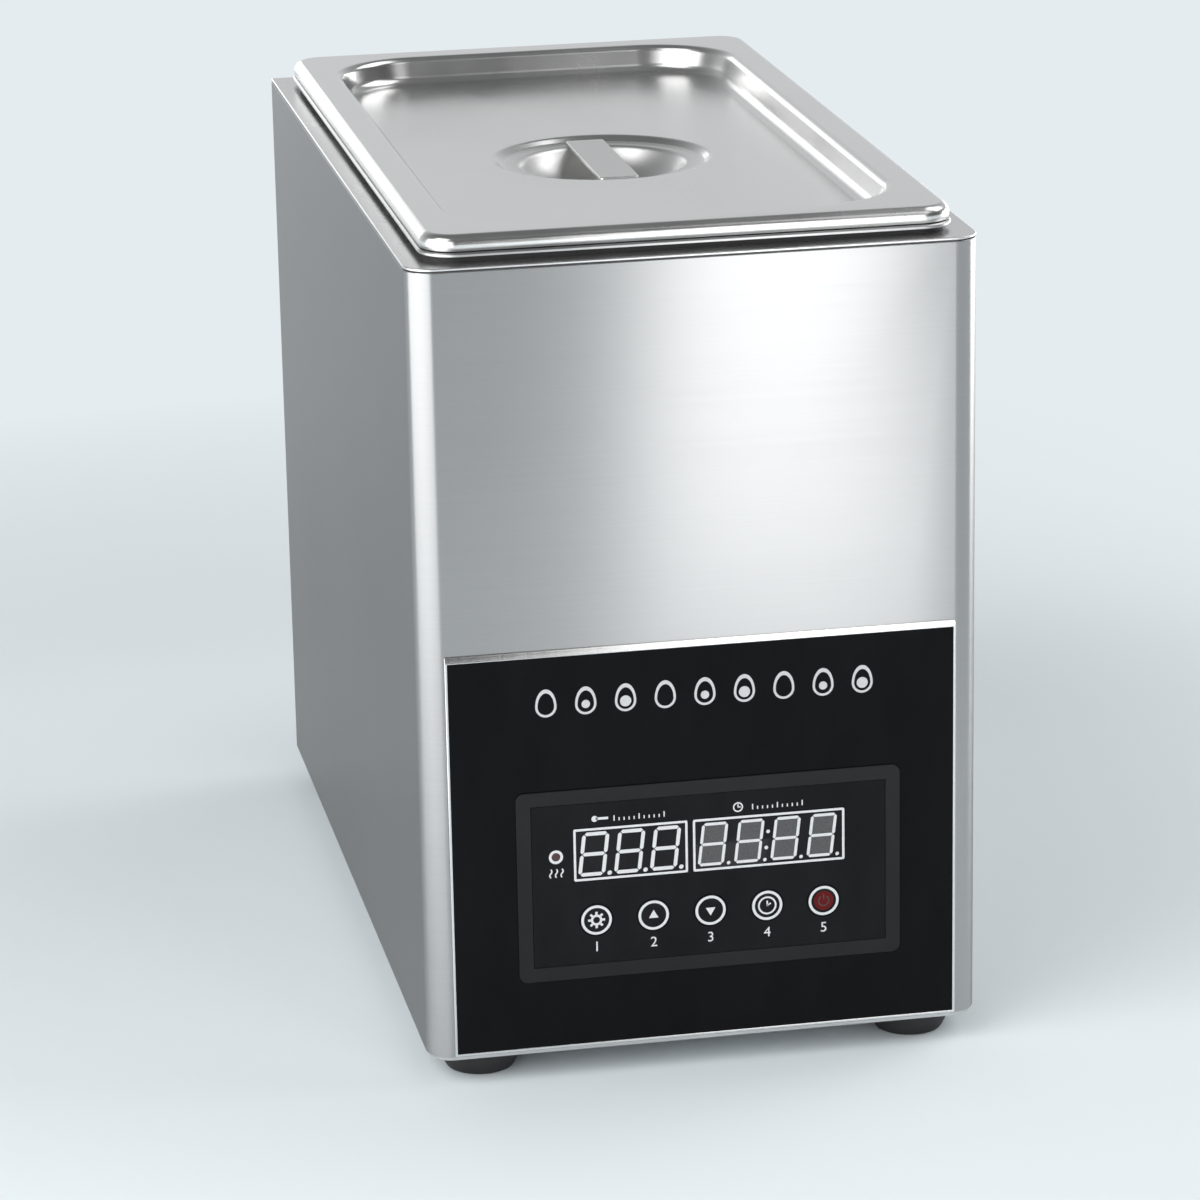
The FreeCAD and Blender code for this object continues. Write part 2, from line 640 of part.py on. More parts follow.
def repeat(body, features, axis, pitch, count):
    """Repeat features along one of the body's own axes."""
    line = [item for item in body.Origin.OriginFeatures if item.Role == axis][0]
    pattern = body.newObject("PartDesign::LinearPattern", "Pattern")
    pattern.Originals = features
    pattern.Direction = (line, [""])
    pattern.Mode = 1
    bind(pattern, "Offset", pitch)
    bind(pattern, "Occurrences", count)
    body.Tip = pattern
    return pattern


def edges(feature, test):
    document.recompute()
    found = [f"Edge{i}" for i, edge in enumerate(feature.Shape.Edges, start=1) if test(edge)]
    if not found:
        raise RuntimeError(f"{feature.Name} has no such edge")
    return found


def faces(feature, test):
    document.recompute()
    found = [f"Face{i}" for i, face in enumerate(feature.Shape.Faces, start=1) if test(face)]
    if not found:
        raise RuntimeError(f"{feature.Name} has no such face")
    return found


def fillet(body, feature, names, radius):
    rounding = body.newObject("PartDesign::Fillet", "Fillet")
    rounding.Base = (feature, names)
    bind(rounding, "Radius", radius)
    return rounding


def chamfer(body, feature, names, size):
    slope = body.newObject("PartDesign::Chamfer", "Chamfer")
    slope.Base = (feature, names)
    bind(slope, "Size", size)
    return slope


def hollow(body, feature, names, wall):
    """Turn a solid into a sheet by taking away the named faces."""
    shell = body.newObject("PartDesign::Thickness", "Sheet")
    shell.Base = (feature, names)
    bind(shell, "Value", wall)
    shell.Reversed = True
    return shell


NEAR = 0.01


def upright_at(y_text):
    """Edges that stand upright at a given depth."""
    y = number(y_text)

    def test(edge):
        box = edge.BoundBox
        return box.ZLength > NEAR and box.YLength < NEAR and abs(box.YMin - y) < NEAR
    return test


def level_at(z_text):
    """Edges that lie level at a given height."""
    z = number(z_text)
    return lambda edge: abs(edge.BoundBox.ZMin - z) < NEAR and abs(edge.BoundBox.ZMax - z) < NEAR


def flat_at(*z_texts):
    """Flat faces that lie level at one of the given heights."""
    heights = [number(text) for text in z_texts]

    def test(face):
        box = face.BoundBox
        return any(abs(box.ZMin - z) < NEAR and abs(box.ZMax - z) < NEAR for z in heights)
    return test


# ---------------------------------------------------------------- casing

BACK_SCREWS = [
    (x, z)
    for x in ("-(wall_x - rear_return / 2)", "wall_x - rear_return / 2")
    for z in (
        "casing_bottom + back_screw_margin",
        "(casing_bottom + casing_top) / 2",
        "casing_top - back_screw_margin",
    )
]
FEET = [(x, y) for x in ("-foot_x", "foot_x") for y in ("foot_front_y", "foot_rear_y")]
DRAIN_HOLE = "grommet_radius - grommet_lap"


def window(sketch):
    """The opening in casing and panel that the controller's box passes."""
    rectangle(
        sketch,
        "bezel_shift - box_half_x - housing_fit", "bezel_shift + box_half_x + housing_fit",
        "bezel_z - box_half_z - housing_fit", "bezel_z + box_half_z + housing_fit",
    )


def outer_casing():
    body = body_named("outer_casing")
    plan = rectangle(
        sketch_on(body, "XY_Plane", "casing_bottom"),
        "-side", "side", "casing_front", "rear - back_sheet",
    )
    bulk = pad(body, plan, "casing_top - casing_bottom")
    round_front = fillet(body, bulk, edges(bulk, upright_at("casing_front")), "casing_corner")
    ends = faces(round_front, flat_at("casing_bottom", "casing_top"))
    hollow(body, round_front, ends, "casing_sheet")
    opening = rectangle(
        sketch_on(body, "XZ_Plane", "-(rear - back_sheet)"),
        "-(wall_x - rear_return)", "wall_x - rear_return",
        "casing_bottom - 1", "casing_top + 1",
    )
    pocket(body, opening, "2 * casing_sheet", reverse=True)
    screw_holes = sketch_on(body, "XZ_Plane", "-(rear - back_sheet)")
    for x, z in BACK_SCREWS:
        hole(screw_holes, x, z, "back_screw_radius + bolt_fit")
    pocket(body, screw_holes, "2 * casing_sheet", reverse=True)
    front_window = sketch_on(body, "XZ_Plane", "-casing_front")
    window(front_window)
    pocket(body, front_window, "2 * casing_sheet")
    return piece(body, "outer_casing")


def back_panel():
    """The louvred back: each hood is drawn out of the sheet and open below."""
    body = body_named("back_panel")
    plan = rectangle(
        sketch_on(body, "XZ_Plane", "-rear"), "-side", "side", "casing_bottom", "casing_top",
    )
    pad(body, plan, "back_sheet")
    holes = sketch_on(body, "XZ_Plane", "-rear")
    for x, z in BACK_SCREWS:
        hole(holes, x, z, "back_screw_radius + bolt_fit")
    hole(holes, "0", "drain_z", DRAIN_HOLE)
    hole(holes, "gland_x", "gland_z", "gland_thread + bolt_fit")
    pocket(body, holes, "2 * back_sheet", reverse=True)
    low = "(casing_bottom + louvre_low)"
    left = "louvre_centre - louvre_length / 2"
    slant = "back_sheet * sqrt(1 + (louvre_reach / louvre_rise)^2)"
    hood = polygon(
        sketch_on(body, "YZ_Plane", left),
        [("rear", low), ("rear + louvre_reach", low), ("rear", f"{low} + louvre_rise")],
    )
    outside = pad(body, hood, "louvre_length")
    inner_rise = f"(louvre_reach - {slant} + back_sheet) * louvre_rise / louvre_reach"
    throat = polygon(
        sketch_on(body, "YZ_Plane", f"{left} + back_sheet"),
        [
            ("rear - back_sheet", low),
            (f"rear + louvre_reach - {slant}", low),
            ("rear - back_sheet", f"{low} + {inner_rise}"),
        ],
    )
    inside = pocket(body, throat, "louvre_length - 2 * back_sheet", reverse=True)
    repeat(body, [outside, inside], "Z_Axis", "louvre_pitch", "louvre_count")
    return piece(body, "back_panel")


def top_deck():
    body = body_named("top_deck")
    plan = rectangle(
        sketch_on(body, "XY_Plane", "deck_under"), "-side", "side", "casing_front", "rear",
    )
    plate = pad(body, plan, "deck_sheet")
    fillet(body, plate, edges(plate, upright_at("casing_front")), "casing_corner")
    flange = rounded(
        sketch_on(body, "XY_Plane", "deck_under"),
        "-nest_x", "nest_x", "nest_front", "nest_rear", "nest_corner",
    )
    pad(body, flange, "deck_flange", reverse=True)
    inner = rounded(
        sketch_on(body, "XY_Plane", "deck_under"),
        "-(nest_x - deck_sheet)", "nest_x - deck_sheet",
        "nest_front + deck_sheet", "nest_rear - deck_sheet", "nest_corner - deck_sheet",
    )
    pocket(body, inner, "deck_flange + 1")
    mouth = rounded(
        sketch_on(body, "XY_Plane", "deck_top"),
        "-(mouth_x + tank_sheet + deck_mouth_fit)", "mouth_x + tank_sheet + deck_mouth_fit",
        "tank_front - tank_sheet - deck_mouth_fit", "tank_rear + tank_sheet + deck_mouth_fit",
        "tank_corner + tank_sheet + deck_mouth_fit",
    )
    pocket(body, mouth, "2 * deck_sheet")
    return piece(body, "top_deck")


def base_tray():
    body = body_named("base_tray")
    plan = rectangle(
        sketch_on(body, "XY_Plane", "foot_height"),
        "-nest_x", "nest_x", "nest_front", "nest_rear",
    )
    bulk = pad(body, plan, "casing_bottom + tray_flange - foot_height")
    bulk = fillet(body, bulk, edges(bulk, upright_at("nest_front")), "nest_corner")
    top = faces(bulk, flat_at("casing_bottom + tray_flange"))
    hollow(body, bulk, top, "tray_sheet")
    holes = sketch_on(body, "XY_Plane", "tray_top")
    for x, y in FEET:
        hole(holes, x, y, "foot_screw_radius + bolt_fit")
    pocket(body, holes, "2 * tray_sheet")
    slot = rectangle(
        sketch_on(body, "XY_Plane", "tray_top"),
        "tray_slot_centre - tray_slot_length / 2", "tray_slot_centre + tray_slot_length / 2",
        "middle_y - tray_slot_width / 2", "middle_y + tray_slot_width / 2",
    )
    vent = pocket(body, slot, "2 * tray_sheet")
    repeat(body, [vent], "Y_Axis", "tray_slot_pitch", "tray_slot_count")
    return piece(body, "base_tray")


def feet():
    soles = []
    for x, y in FEET:
        rubber = cone(x, y, "0", "foot_sole_radius", "foot_top_radius", "foot_height")
        recess = rod(x, y, "-1", "foot_screw_head + 1", "foot_screw_sink + 1")
        bore = rod(x, y, "0", "foot_screw_radius + bolt_fit", "foot_height + 1")
        soles.append(cut(rubber, recess, bore))
    return piece(group(*soles), "feet")


def foot_fasteners():
    screws, nuts = [], []
    reach = "tray_top - foot_screw_sink + foot_nut_height + 1"
    for x, y in FEET:
        head = rod(x, y, "foot_screw_sink - foot_head_height", "foot_screw_head", "foot_head_height")
        shank = rod(x, y, "foot_screw_sink", "foot_screw_radius", reach)
        screws.append(fuse(head, shank))
        nut = hexagon(x, y, "tray_top", "foot_nut_across", "foot_nut_height")
        nuts.append(cut(nut, rod(x, y, "tray_top - 1", "foot_screw_radius", "foot_nut_height + 2")))
    piece(group(*screws), "foot_screws")
    piece(group(*nuts), "foot_nuts")


def back_screws():
    screws = []
    for x, z in BACK_SCREWS:
        head = rod(x, "rear", z, "back_screw_head", "back_head_height", "y")
        shank = rod(x, "rear - back_screw_length", z, "back_screw_radius", "back_screw_length", "y")
        screws.append(fuse(head, shank))
    piece(group(*screws), "back_panel_screws")


# ---------------------------------------------------------------- lid

def lid_cover():
    """The pressed lid: a block with the lid's upper side, turned into a sheet."""
    body = body_named("lid_cover")
    deep = "(bowl_floor - 2 * lid_sheet)"
    outline = rounded(
        sketch_on(body, "XY_Plane", deep),
        "-lid_x", "lid_x", "middle_y - lid_half_y", "middle_y + lid_half_y", "lid_corner",
    )
    pad(body, outline, f"lid_top - {deep}")
    recess = rounded(
        sketch_on(body, "XY_Plane", "lid_top"),
        "-recess_x", "recess_x",
        "middle_y - recess_half_y", "middle_y + recess_half_y", "recess_corner",
    )
    sunk = pocket(body, recess, "recess_depth")
    brow = edges(sunk, lambda edge: level_at("lid_top")(edge) and inside_recess(edge))
    sunk = chamfer(body, sunk, brow, "recess_brow")
    sunk = chamfer(body, sunk, edges(sunk, level_at("recess_floor")), "recess_foot")
    rim = edges(sunk, lambda edge: level_at("lid_top")(edge) and not inside_recess(edge))
    chamfer(body, sunk, rim, "lid_edge")
    span = "(bowl_radius - bowl_floor_radius)"
    dish = polygon(
        sketch_on(body, "XZ_Plane", "-bowl_y"),
        [
            ("0", "recess_floor + 1"),
            ("ledge_radius", "recess_floor + 1"),
            ("ledge_radius", "recess_floor"),
            ("ledge_radius - ledge_slope", "ledge_top"),
            ("bowl_radius", "ledge_top"),
            (f"bowl_radius - {span} / 8", "ledge_top - bowl_depth / 3"),
            (f"bowl_radius - {span} * 3 / 8", "ledge_top - bowl_depth * 3 / 4"),
            ("bowl_floor_radius", "bowl_floor"),
            ("0", "bowl_floor"),
        ],
    )
    bowl = body.newObject("PartDesign::Groove", "Groove")
    bowl.Profile = (dish, [""])
    bowl.ReferenceAxis = (dish, ["V_Axis"])
    bowl.Angle = 360
    hollow(body, bowl, faces(bowl, flat_at(deep)), "lid_sheet")
    skirt = sketch_on(body, "XY_Plane", deep)
    rectangle(
        skirt, "-(lid_x + 1)", "lid_x + 1",
        "middle_y - lid_half_y - 1", "middle_y + lid_half_y + 1",
    )
    rounded(
        skirt, "-(recess_x + lid_sheet + 1)", "recess_x + lid_sheet + 1",
        "middle_y - recess_half_y - lid_sheet - 1", "middle_y + recess_half_y + lid_sheet + 1",
        "recess_corner + lid_sheet + 1",
    )
    pocket(body, skirt, f"lid_low - {deep}", reverse=True)
    return piece(body, "lid_cover")


def inside_recess(edge):
    """Whether an edge belongs to the recess and not to the lid's outline."""
    box = edge.BoundBox
    return (
        box.XMax < number("recess_x") + 1
        and box.XMin > -number("recess_x") - 1
        and box.YMax < number("middle_y + recess_half_y") + 1
        and box.YMin > number("middle_y - recess_half_y") - 1
    )


def lid_strap():
    """The flat strap across the bowl, with both ends welded to the step."""
    reach = "(bowl_radius + strap_lap)"
    body = body_named("lid_strap")
    plan = rounded(
        sketch_on(body, "XY_Plane", "ledge_top"),
        "-strap_width / 2", "strap_width / 2",
        f"bowl_y - {reach}", f"bowl_y + {reach}", "strap_lap / 2",
    )
    pad(body, plan, "strap_sheet")
    return piece(body, "lid_strap")


# ---------------------------------------------------------------- tank

ELEMENT_LEGS = ("-element_spread", "element_spread")


def water_tank():
    body = body_named("water_tank")
    plan = rounded(
        sketch_on(body, "XY_Plane", "tank_under"),
        "-(mouth_x + tank_sheet)", "mouth_x + tank_sheet",
        "tank_front - tank_sheet", "tank_rear + tank_sheet", "tank_corner + tank_sheet",
    )
    tub = pad(body, plan, "rim_top - tank_under")
    tub = chamfer(body, tub, edges(tub, level_at("tank_under")), "tank_foot")
    hollow(body, tub, faces(tub, flat_at("rim_top")), "tank_sheet")
    rim_x = "lid_x + rim_overhang"
    rim_y = "lid_half_y + rim_overhang"
    rim = sketch_on(body, "XY_Plane", "rim_top")
    rounded(
        rim, f"-({rim_x})", rim_x, f"middle_y - ({rim_y})", f"middle_y + {rim_y}",
        "lid_corner + rim_overhang",
    )
    rounded(rim, "-mouth_x", "mouth_x", "tank_front", "tank_rear", "tank_corner")
    flange = pad(body, rim, "tank_sheet", reverse=True)
    outer = edges(flange, lambda edge: level_at("rim_top")(edge) and beyond_mouth(edge))
    chamfer(body, flange, outer, "rim_break")
    lip = sketch_on(body, "XY_Plane", "rim_top - tank_sheet")
    rounded(
        lip, f"-({rim_x})", rim_x, f"middle_y - ({rim_y})", f"middle_y + {rim_y}",
        "lid_corner + rim_overhang",
    )
    rounded(
        lip, f"-({rim_x} - tank_sheet)", f"{rim_x} - tank_sheet",
        f"middle_y - ({rim_y} - tank_sheet)", f"middle_y + {rim_y} - tank_sheet",
        "lid_corner + rim_overhang - tank_sheet",
    )
    pad(body, lip, "rim_height - tank_sheet", reverse=True)
    holes = sketch_on(body, "XY_Plane", "tank_floor")
    hole(holes, "0", "drain_y", "drain_tube + fit_play")
    hole(holes, "0", "probe_y", "probe_radius + fit_play")
    for x in ELEMENT_LEGS:
        hole(holes, x, "drop_y", "bush_radius + fit_play")
    pocket(body, holes, "2 * tank_sheet")
    return piece(body, "water_tank")


def beyond_mouth(edge):
    """Whether an edge lies on the rim's outer outline."""
    box = edge.BoundBox
    return (
        max(box.XMax, -box.XMin) > number("mouth_x") + 1
        or box.YMax > number("tank_rear") + 1
        or box.YMin < number("tank_front") - 1
    )


def tank_seal():
    """The soft ring that the tank's rim sits on, a little behind its edge."""
    body = body_named("tank_seal")
    plan = sketch_on(body, "XY_Plane", "deck_top")
    inset = "seal_inset"
    rounded(
        plan, f"-(lid_x - {inset})", f"lid_x - {inset}",
        f"middle_y - lid_half_y + {inset}", f"middle_y + lid_half_y - {inset}",
        f"lid_corner - {inset}",
    )
    play = "(tank_sheet + deck_mouth_fit)"
    rounded(
        plan, f"-(mouth_x + {play})", f"mouth_x + {play}",
        f"tank_front - {play}", f"tank_rear + {play}", f"tank_corner + {play}",
    )
    pad(body, plan, "rim_top - tank_sheet - deck_top")
    return piece(body, "tank_seal")


def element_guard():
    """A slotted sheet on two turned-down legs, over the heating element."""
    body = body_named("element_guard")
    inner_x = "guard_x - guard_sheet"
    under = "guard_top - guard_sheet"
    profile = polygon(
        sketch_on(body, "XZ_Plane", "-(middle_y - guard_half_y)"),
        [
            ("-guard_x", "tank_floor"), (f"-({inner_x})", "tank_floor"),
            (f"-({inner_x})", under), (inner_x, under),
            (inner_x, "tank_floor"), ("guard_x", "tank_floor"),
            ("guard_x", "guard_top"), ("-guard_x", "guard_top"),
        ],
    )
    pad(body, profile, "2 * guard_half_y", reverse=True)
    first = "(middle_y - guard_half_y + guard_slot_pitch)"
    slot = rectangle(
        sketch_on(body, "XY_Plane", "guard_top"),
        "-(guard_x - guard_slot_margin)", "guard_x - guard_slot_margin",
        first, f"{first} + guard_slot_width",
    )
    opening = pocket(body, slot, "2 * guard_sheet")
    count = "floor((2 * guard_half_y - 2 * guard_slot_pitch) / guard_slot_pitch)"
    repeat(body, [opening], "Y_Axis", "guard_slot_pitch", count)
    return piece(body, "element_guard")


def heating_element():
    """A hairpin tube over the tank's floor, with both ends turned down."""
    parts = [
        bend("0", "hairpin_y", "element_z", "element_spread", "element_radius", 180,
             FreeCAD.Rotation(V(0, 0, 1), 180)),
    ]
    low = "tank_floor - element_tail"
    for x in ELEMENT_LEGS:
        run = "drop_y - element_bend - hairpin_y"
        parts.append(rod(x, "hairpin_y", "element_z", "element_radius", run, "y"))
        parts.append(bend(x, "drop_y - element_bend", "element_z - element_bend",
                          "element_bend", "element_radius", 90,
                          FreeCAD.Rotation(V(0, 1, 0), V(0, 0, 1), V(1, 0, 0), "ZXY")))
        fall = f"element_z - element_bend - ({low})"
        parts.append(rod(x, "drop_y", low, "element_radius", fall))
    return piece(fuse(*parts), "heating_element")


def element_fittings():
    """Threaded bushes through the tank's floor with nuts, and all gaskets in the tank."""
    bushes, gaskets, nuts, heads = [], [], [], []
    seat = "tank_floor + gasket"
    for x in ELEMENT_LEGS:
        head = hexagon(x, "drop_y", seat, "bush_across", "bush_head")
        shank = rod(x, "drop_y", f"{seat} - bush_length", "bush_radius", "bush_length")
        bore = rod(x, "drop_y", f"{seat} - bush_length - 1", "element_radius",
                   "bush_length + bush_head + 2")
        bushes.append(cut(fuse(head, shank), bore))
        gaskets.append(cut(
            rod(x, "drop_y", "tank_floor", "bush_across / 2", "gasket"),
            rod(x, "drop_y", "tank_floor - 1", "bush_radius + fit_play", "gasket + 2"),
        ))
        nuts.append(cut(
            hexagon(x, "drop_y", "tank_under - fitting_nut", "bush_across", "fitting_nut"),
            rod(x, "drop_y", "tank_under - fitting_nut - 1", "bush_radius", "fitting_nut + 2"),
        ))
        end = "tank_floor - element_tail"
        ceramic = rod(x, "drop_y", f"{end} - terminal_length", "terminal_radius", "terminal_length")
        tip = f"{end} - terminal_length - pin_length"
        heads.append(fuse(ceramic, rod(x, "drop_y", tip, "pin_radius", "pin_length")))
    piece(group(*bushes), "element_bushes")
    gaskets.append(cut(
        rod("0", "drain_y", "tank_floor", "drain_flange", "gasket"),
        rod("0", "drain_y", "tank_floor - 1", "drain_tube + fit_play", "gasket + 2"),
    ))
    piece(group(*gaskets), "tank_gaskets")
    piece(group(*nuts), "element_nuts")
    piece(group(*heads), "element_terminals")


def temperature_probe():
    low = "tank_floor - probe_tail"
    piece(rod("0", "probe_y", low, "probe_radius", "probe_length + probe_tail"), "temperature_probe")
    upper = hexagon("0", "probe_y", "tank_floor", "probe_across", "bush_head")
    lower = hexagon("0", "probe_y", "tank_under - fitting_nut", "probe_across", "fitting_nut")
    nuts = []
    for nut, base, height in (
        (upper, "tank_floor", "bush_head"),
        (lower, "tank_under - fitting_nut", "fitting_nut"),
    ):
        nuts.append(cut(nut, rod("0", "probe_y", f"{base} - 1", "probe_radius", f"{height} + 2")))
    piece(group(*nuts), "probe_nuts")


def overheat_cutout():
    """The bimetal cut-out under the tank, with its two blade terminals."""
    low = "tank_under - cutout_height"
    cup_low = "tank_under - cutout_cup_height"
    cup = rod("0", "cutout_y", cup_low, "cutout_cup", "cutout_cup_height")
    case = rod("0", "cutout_y", low, "cutout_radius", "cutout_height - cutout_cup_height")
    blades = [
        block(
            f"{x} - blade_sheet / 2", "cutout_y - blade_width / 2", f"{low} - blade_length",
            "blade_sheet", "blade_width", "blade_length + 1",
        )
        for x in ("-blade_spread", "blade_spread")
    ]
    return piece(fuse(cup, case, *blades), "overheat_cutout")


# ---------------------------------------------------------------- basket

def egg_basket():
    body = body_named("egg_basket")
    plan = rounded(
        sketch_on(body, "XY_Plane", "basket_low"),
        "-basket_x", "basket_x", "middle_y - basket_half_y", "middle_y + basket_half_y",
        "basket_corner",
    )
    bulk = pad(body, plan, "basket_top - basket_low")
    hollow(body, bulk, faces(bulk, flat_at("basket_top")), "basket_sheet")
    rim = sketch_on(body, "XY_Plane", "basket_top")
    for grow in ("basket_rim", "0"):
        rounded(
            rim, f"-(basket_x + {grow})", f"basket_x + {grow}",
            f"middle_y - basket_half_y - {grow}", f"middle_y + basket_half_y + {grow}",
            f"basket_corner + {grow}",
        )
    pad(body, rim, "basket_sheet", reverse=True)
    first = "(middle_y - basket_half_y + basket_slot_margin)"
    count = "floor((2 * basket_half_y - 2 * basket_slot_margin) / basket_slot_pitch) + 1"
    wall_slot = rectangle(
        sketch_on(body, "YZ_Plane", "-(basket_x + 1)"),
        first, f"{first} + basket_slot_width",
        "basket_low + basket_slot_margin", "basket_top - basket_slot_margin",
    )
    walls = pocket(body, wall_slot, "2 * (basket_x + 1)", reverse=True)
    floor_slot = rectangle(
        sketch_on(body, "XY_Plane", "basket_low + 2 * basket_sheet"),
        "-(basket_x - basket_slot_margin)", "basket_x - basket_slot_margin",
        first, f"{first} + basket_slot_width",
    )
    floor = pocket(body, floor_slot, "3 * basket_sheet")
    repeat(body, [walls, floor], "Y_Axis", "basket_slot_pitch", count)
    return piece(body, "egg_basket")


def basket_handles():
    """Two flat loops, welded inside the basket's ends."""
    loops = []
    for y in (
        "middle_y - basket_half_y + basket_sheet",
        "middle_y + basket_half_y - basket_sheet - handle_sheet",
    ):
        body = body_named("handle_loop")
        plan = sketch_on(body, "XZ_Plane", f"-({y})")
        for inset in ("0", "handle_bar"):
            rounded(
                plan, f"-(handle_width / 2 - {inset})", f"handle_width / 2 - {inset}",
                f"basket_top - handle_drop + {inset}", f"handle_top - {inset}",
                f"handle_corner - {inset}",
            )
        pad(body, plan, "handle_sheet", reverse=True)
        loops.append(body)
    return piece(group(*loops), "basket_handles")


# ---------------------------------------------------------------- drain

def drain_line():
    """Outlet, elbow and pipe that lead the water out through the back."""
    top = "tank_floor + gasket + drain_flange_sheet"
    foot = "drain_z + elbow_arm - elbow_socket"
    outlet = cut(
        fuse(
            rod("0", "drain_y", "tank_floor + gasket", "drain_flange", "drain_flange_sheet"),
            rod("0", "drain_y", foot, "drain_tube", f"{top} - ({foot})"),
        ),
        rod("0", "drain_y", f"{foot} - 1", "drain_bore", f"{top} - ({foot}) + 2"),
    )
    piece(outlet, "drain_outlet")
    piece(cut(
        hexagon("0", "drain_y", "tank_under - fitting_nut", "drain_nut_across", "fitting_nut"),
        rod("0", "drain_y", "tank_under - fitting_nut - 1", "drain_tube", "fitting_nut + 2"),
    ), "drain_nut")
    elbow = cut(
        fuse(
            block("-elbow_half", "drain_y - elbow_half", "drain_z - elbow_half",
                  "2 * elbow_half", "2 * elbow_half", "2 * elbow_half"),
            rod("0", "drain_y", "drain_z", "elbow_radius", "elbow_arm"),
            rod("0", "drain_y", "drain_z", "elbow_radius", "elbow_arm", "y"),
        ),
        rod("0", "drain_y", "drain_z - drain_bore - 1", "drain_bore", "elbow_arm + drain_bore + 2"),
        rod("0", "drain_y", foot, "drain_tube", "elbow_socket + 1"),
        rod("0", "drain_y", "drain_z", "elbow_bore", "elbow_arm + 1", "y"),
        rod("0", "drain_y + elbow_arm - elbow_socket", "drain_z", "drain_tube",
            "elbow_socket + 1", "y"),
    )
    piece(elbow, "drain_elbow")
    start = "(drain_y + elbow_arm - elbow_socket)"
    run = f"cock_y + cock_socket - {start}"
    piece(cut(
        rod("0", start, "drain_z", "drain_tube", run, "y"),
        rod("0", f"{start} - 1", "drain_z", "drain_bore", f"{run} + 2", "y"),
    ), "drain_pipe")
    ring = rod("0", "rear - back_sheet / 2 - grommet_width / 2", "drain_z", "grommet_radius",
               "grommet_width", "y")
    groove = cut(
        rod("0", "rear - back_sheet", "drain_z", "grommet_radius + 1", "back_sheet", "y"),
        rod("0", "rear - back_sheet - 1", "drain_z", DRAIN_HOLE, "back_sheet + 2", "y"),
    )
    through = rod("0", "rear - grommet_width", "drain_z", "drain_tube", "2 * grommet_width", "y")
    piece(cut(ring, groove, through), "pipe_grommet")


def cock_body():
    """The drain cock's body: hexagon ends and a taper-bored barrel."""
    length = "(outlet_end - cock_y)"
    outside = fuse(
        hexagon("0", "cock_y", "drain_z", "cock_across", "cock_hex", "y"),
        rod("0", "cock_y", "drain_z", "cock_waist", length, "y"),
        hexagon("0", "outlet_end - cock_hex", "drain_z", "cock_across", "cock_hex", "y"),
        rod("0", "plug_y", "barrel_low", "plug_barrel", "2 * plug_barrel_half"),
    )
    taper = cone("0", "plug_y", "barrel_low", "plug_bottom", "plug_top", "2 * plug_barrel_half")
    item = cut(
        outside,
        rod("0", "cock_y - 1", "drain_z", "drain_tube", "cock_socket + 1", "y"),
        rod("0", "cock_y", "drain_z", "drain_bore", f"{length} - 1", "y"),
        rod("0", "outlet_end - outlet_depth", "drain_z", "outlet_thread", "outlet_depth + 1", "y"),
        taper,
    )
    return piece(item, "cock_body")


def cock_handle():
    """The taper plug with its keeper, and the lever that turns it."""
    tall = "2 * plug_barrel_half"
    taper = cone("0", "plug_y", "barrel_low", "plug_bottom - plug_play", "plug_top - plug_play", tall)
    neck = rod("0", "plug_y", "barrel_top", "plug_neck", "plug_neck_length")
    tail = rod("0", "plug_y", "barrel_low - plug_tail_length", "plug_tail", "plug_tail_length")
    port = rod("-(plug_top + 1)", "plug_y", "drain_z", "plug_port", "2 * (plug_top + 1)", "x")
    piece(cut(fuse(taper, neck, tail), port), "cock_plug")
    washer_low = "barrel_low - plug_play - keeper_sheet"
    piece(cut(
        rod("0", "plug_y", washer_low, "keeper_radius", "keeper_sheet"),
        rod("0", "plug_y", f"{washer_low} - 1", "plug_tail", "keeper_sheet + 2"),
    ), "keeper_washer")
    nut_low = f"{washer_low} - keeper_nut_height"
    piece(cut(
        hexagon("0", "plug_y", nut_low, "keeper_nut_across", "keeper_nut_height"),
        rod("0", "plug_y", f"{nut_low} - 1", "plug_tail", "keeper_nut_height + 2"),
    ), "keeper_nut")
    body = body_named("cock_lever")
    arm = rounded(
        sketch_on(body, "XY_Plane", "lever_low"),
        "0", "lever_length", "plug_y - lever_width / 2", "plug_y + lever_width / 2",
        "lever_corner",
    )
    pad(body, arm, "lever_sheet")
    pad(body, hole(sketch_on(body, "XY_Plane", "lever_low"), "0", "plug_y", "lever_hub"),
        "lever_sheet")
    eye = hole(sketch_on(body, "XY_Plane", "lever_low"), "0", "plug_y", "plug_neck")
    pocket(body, eye, "lever_sheet", reverse=True)
    piece(body, "cock_lever")
    grip = body_named("lever_grip")
    start = "lever_length + grip_wall - grip_length"
    sleeve = rounded(
        sketch_on(grip, "XY_Plane", "lever_low - grip_wall"),
        start, "lever_length + grip_wall",
        "plug_y - lever_width / 2 - grip_wall", "plug_y + lever_width / 2 + grip_wall",
        "lever_corner + grip_wall",
    )
    pad(grip, sleeve, "lever_sheet + 2 * grip_wall")
    room = rounded(
        sketch_on(grip, "XY_Plane", "lever_low"),
        "0", "lever_length", "plug_y - lever_width / 2", "plug_y + lever_width / 2",
        "lever_corner",
    )
    pocket(grip, room, "lever_sheet", reverse=True)
    piece(grip, "lever_grip")
    nut_seat = "lever_low + lever_sheet"
    neck_left = f"barrel_top + plug_neck_length - ({nut_seat})"
    piece(cut(
        hexagon("0", "plug_y", nut_seat, "lever_nut_across", f"{neck_left} + lever_nut_height"),
        rod("0", "plug_y", f"{nut_seat} - 1", "plug_neck", f"{neck_left} + 1"),
    ), "lever_nut")


# ---------------------------------------------------------------- control panel

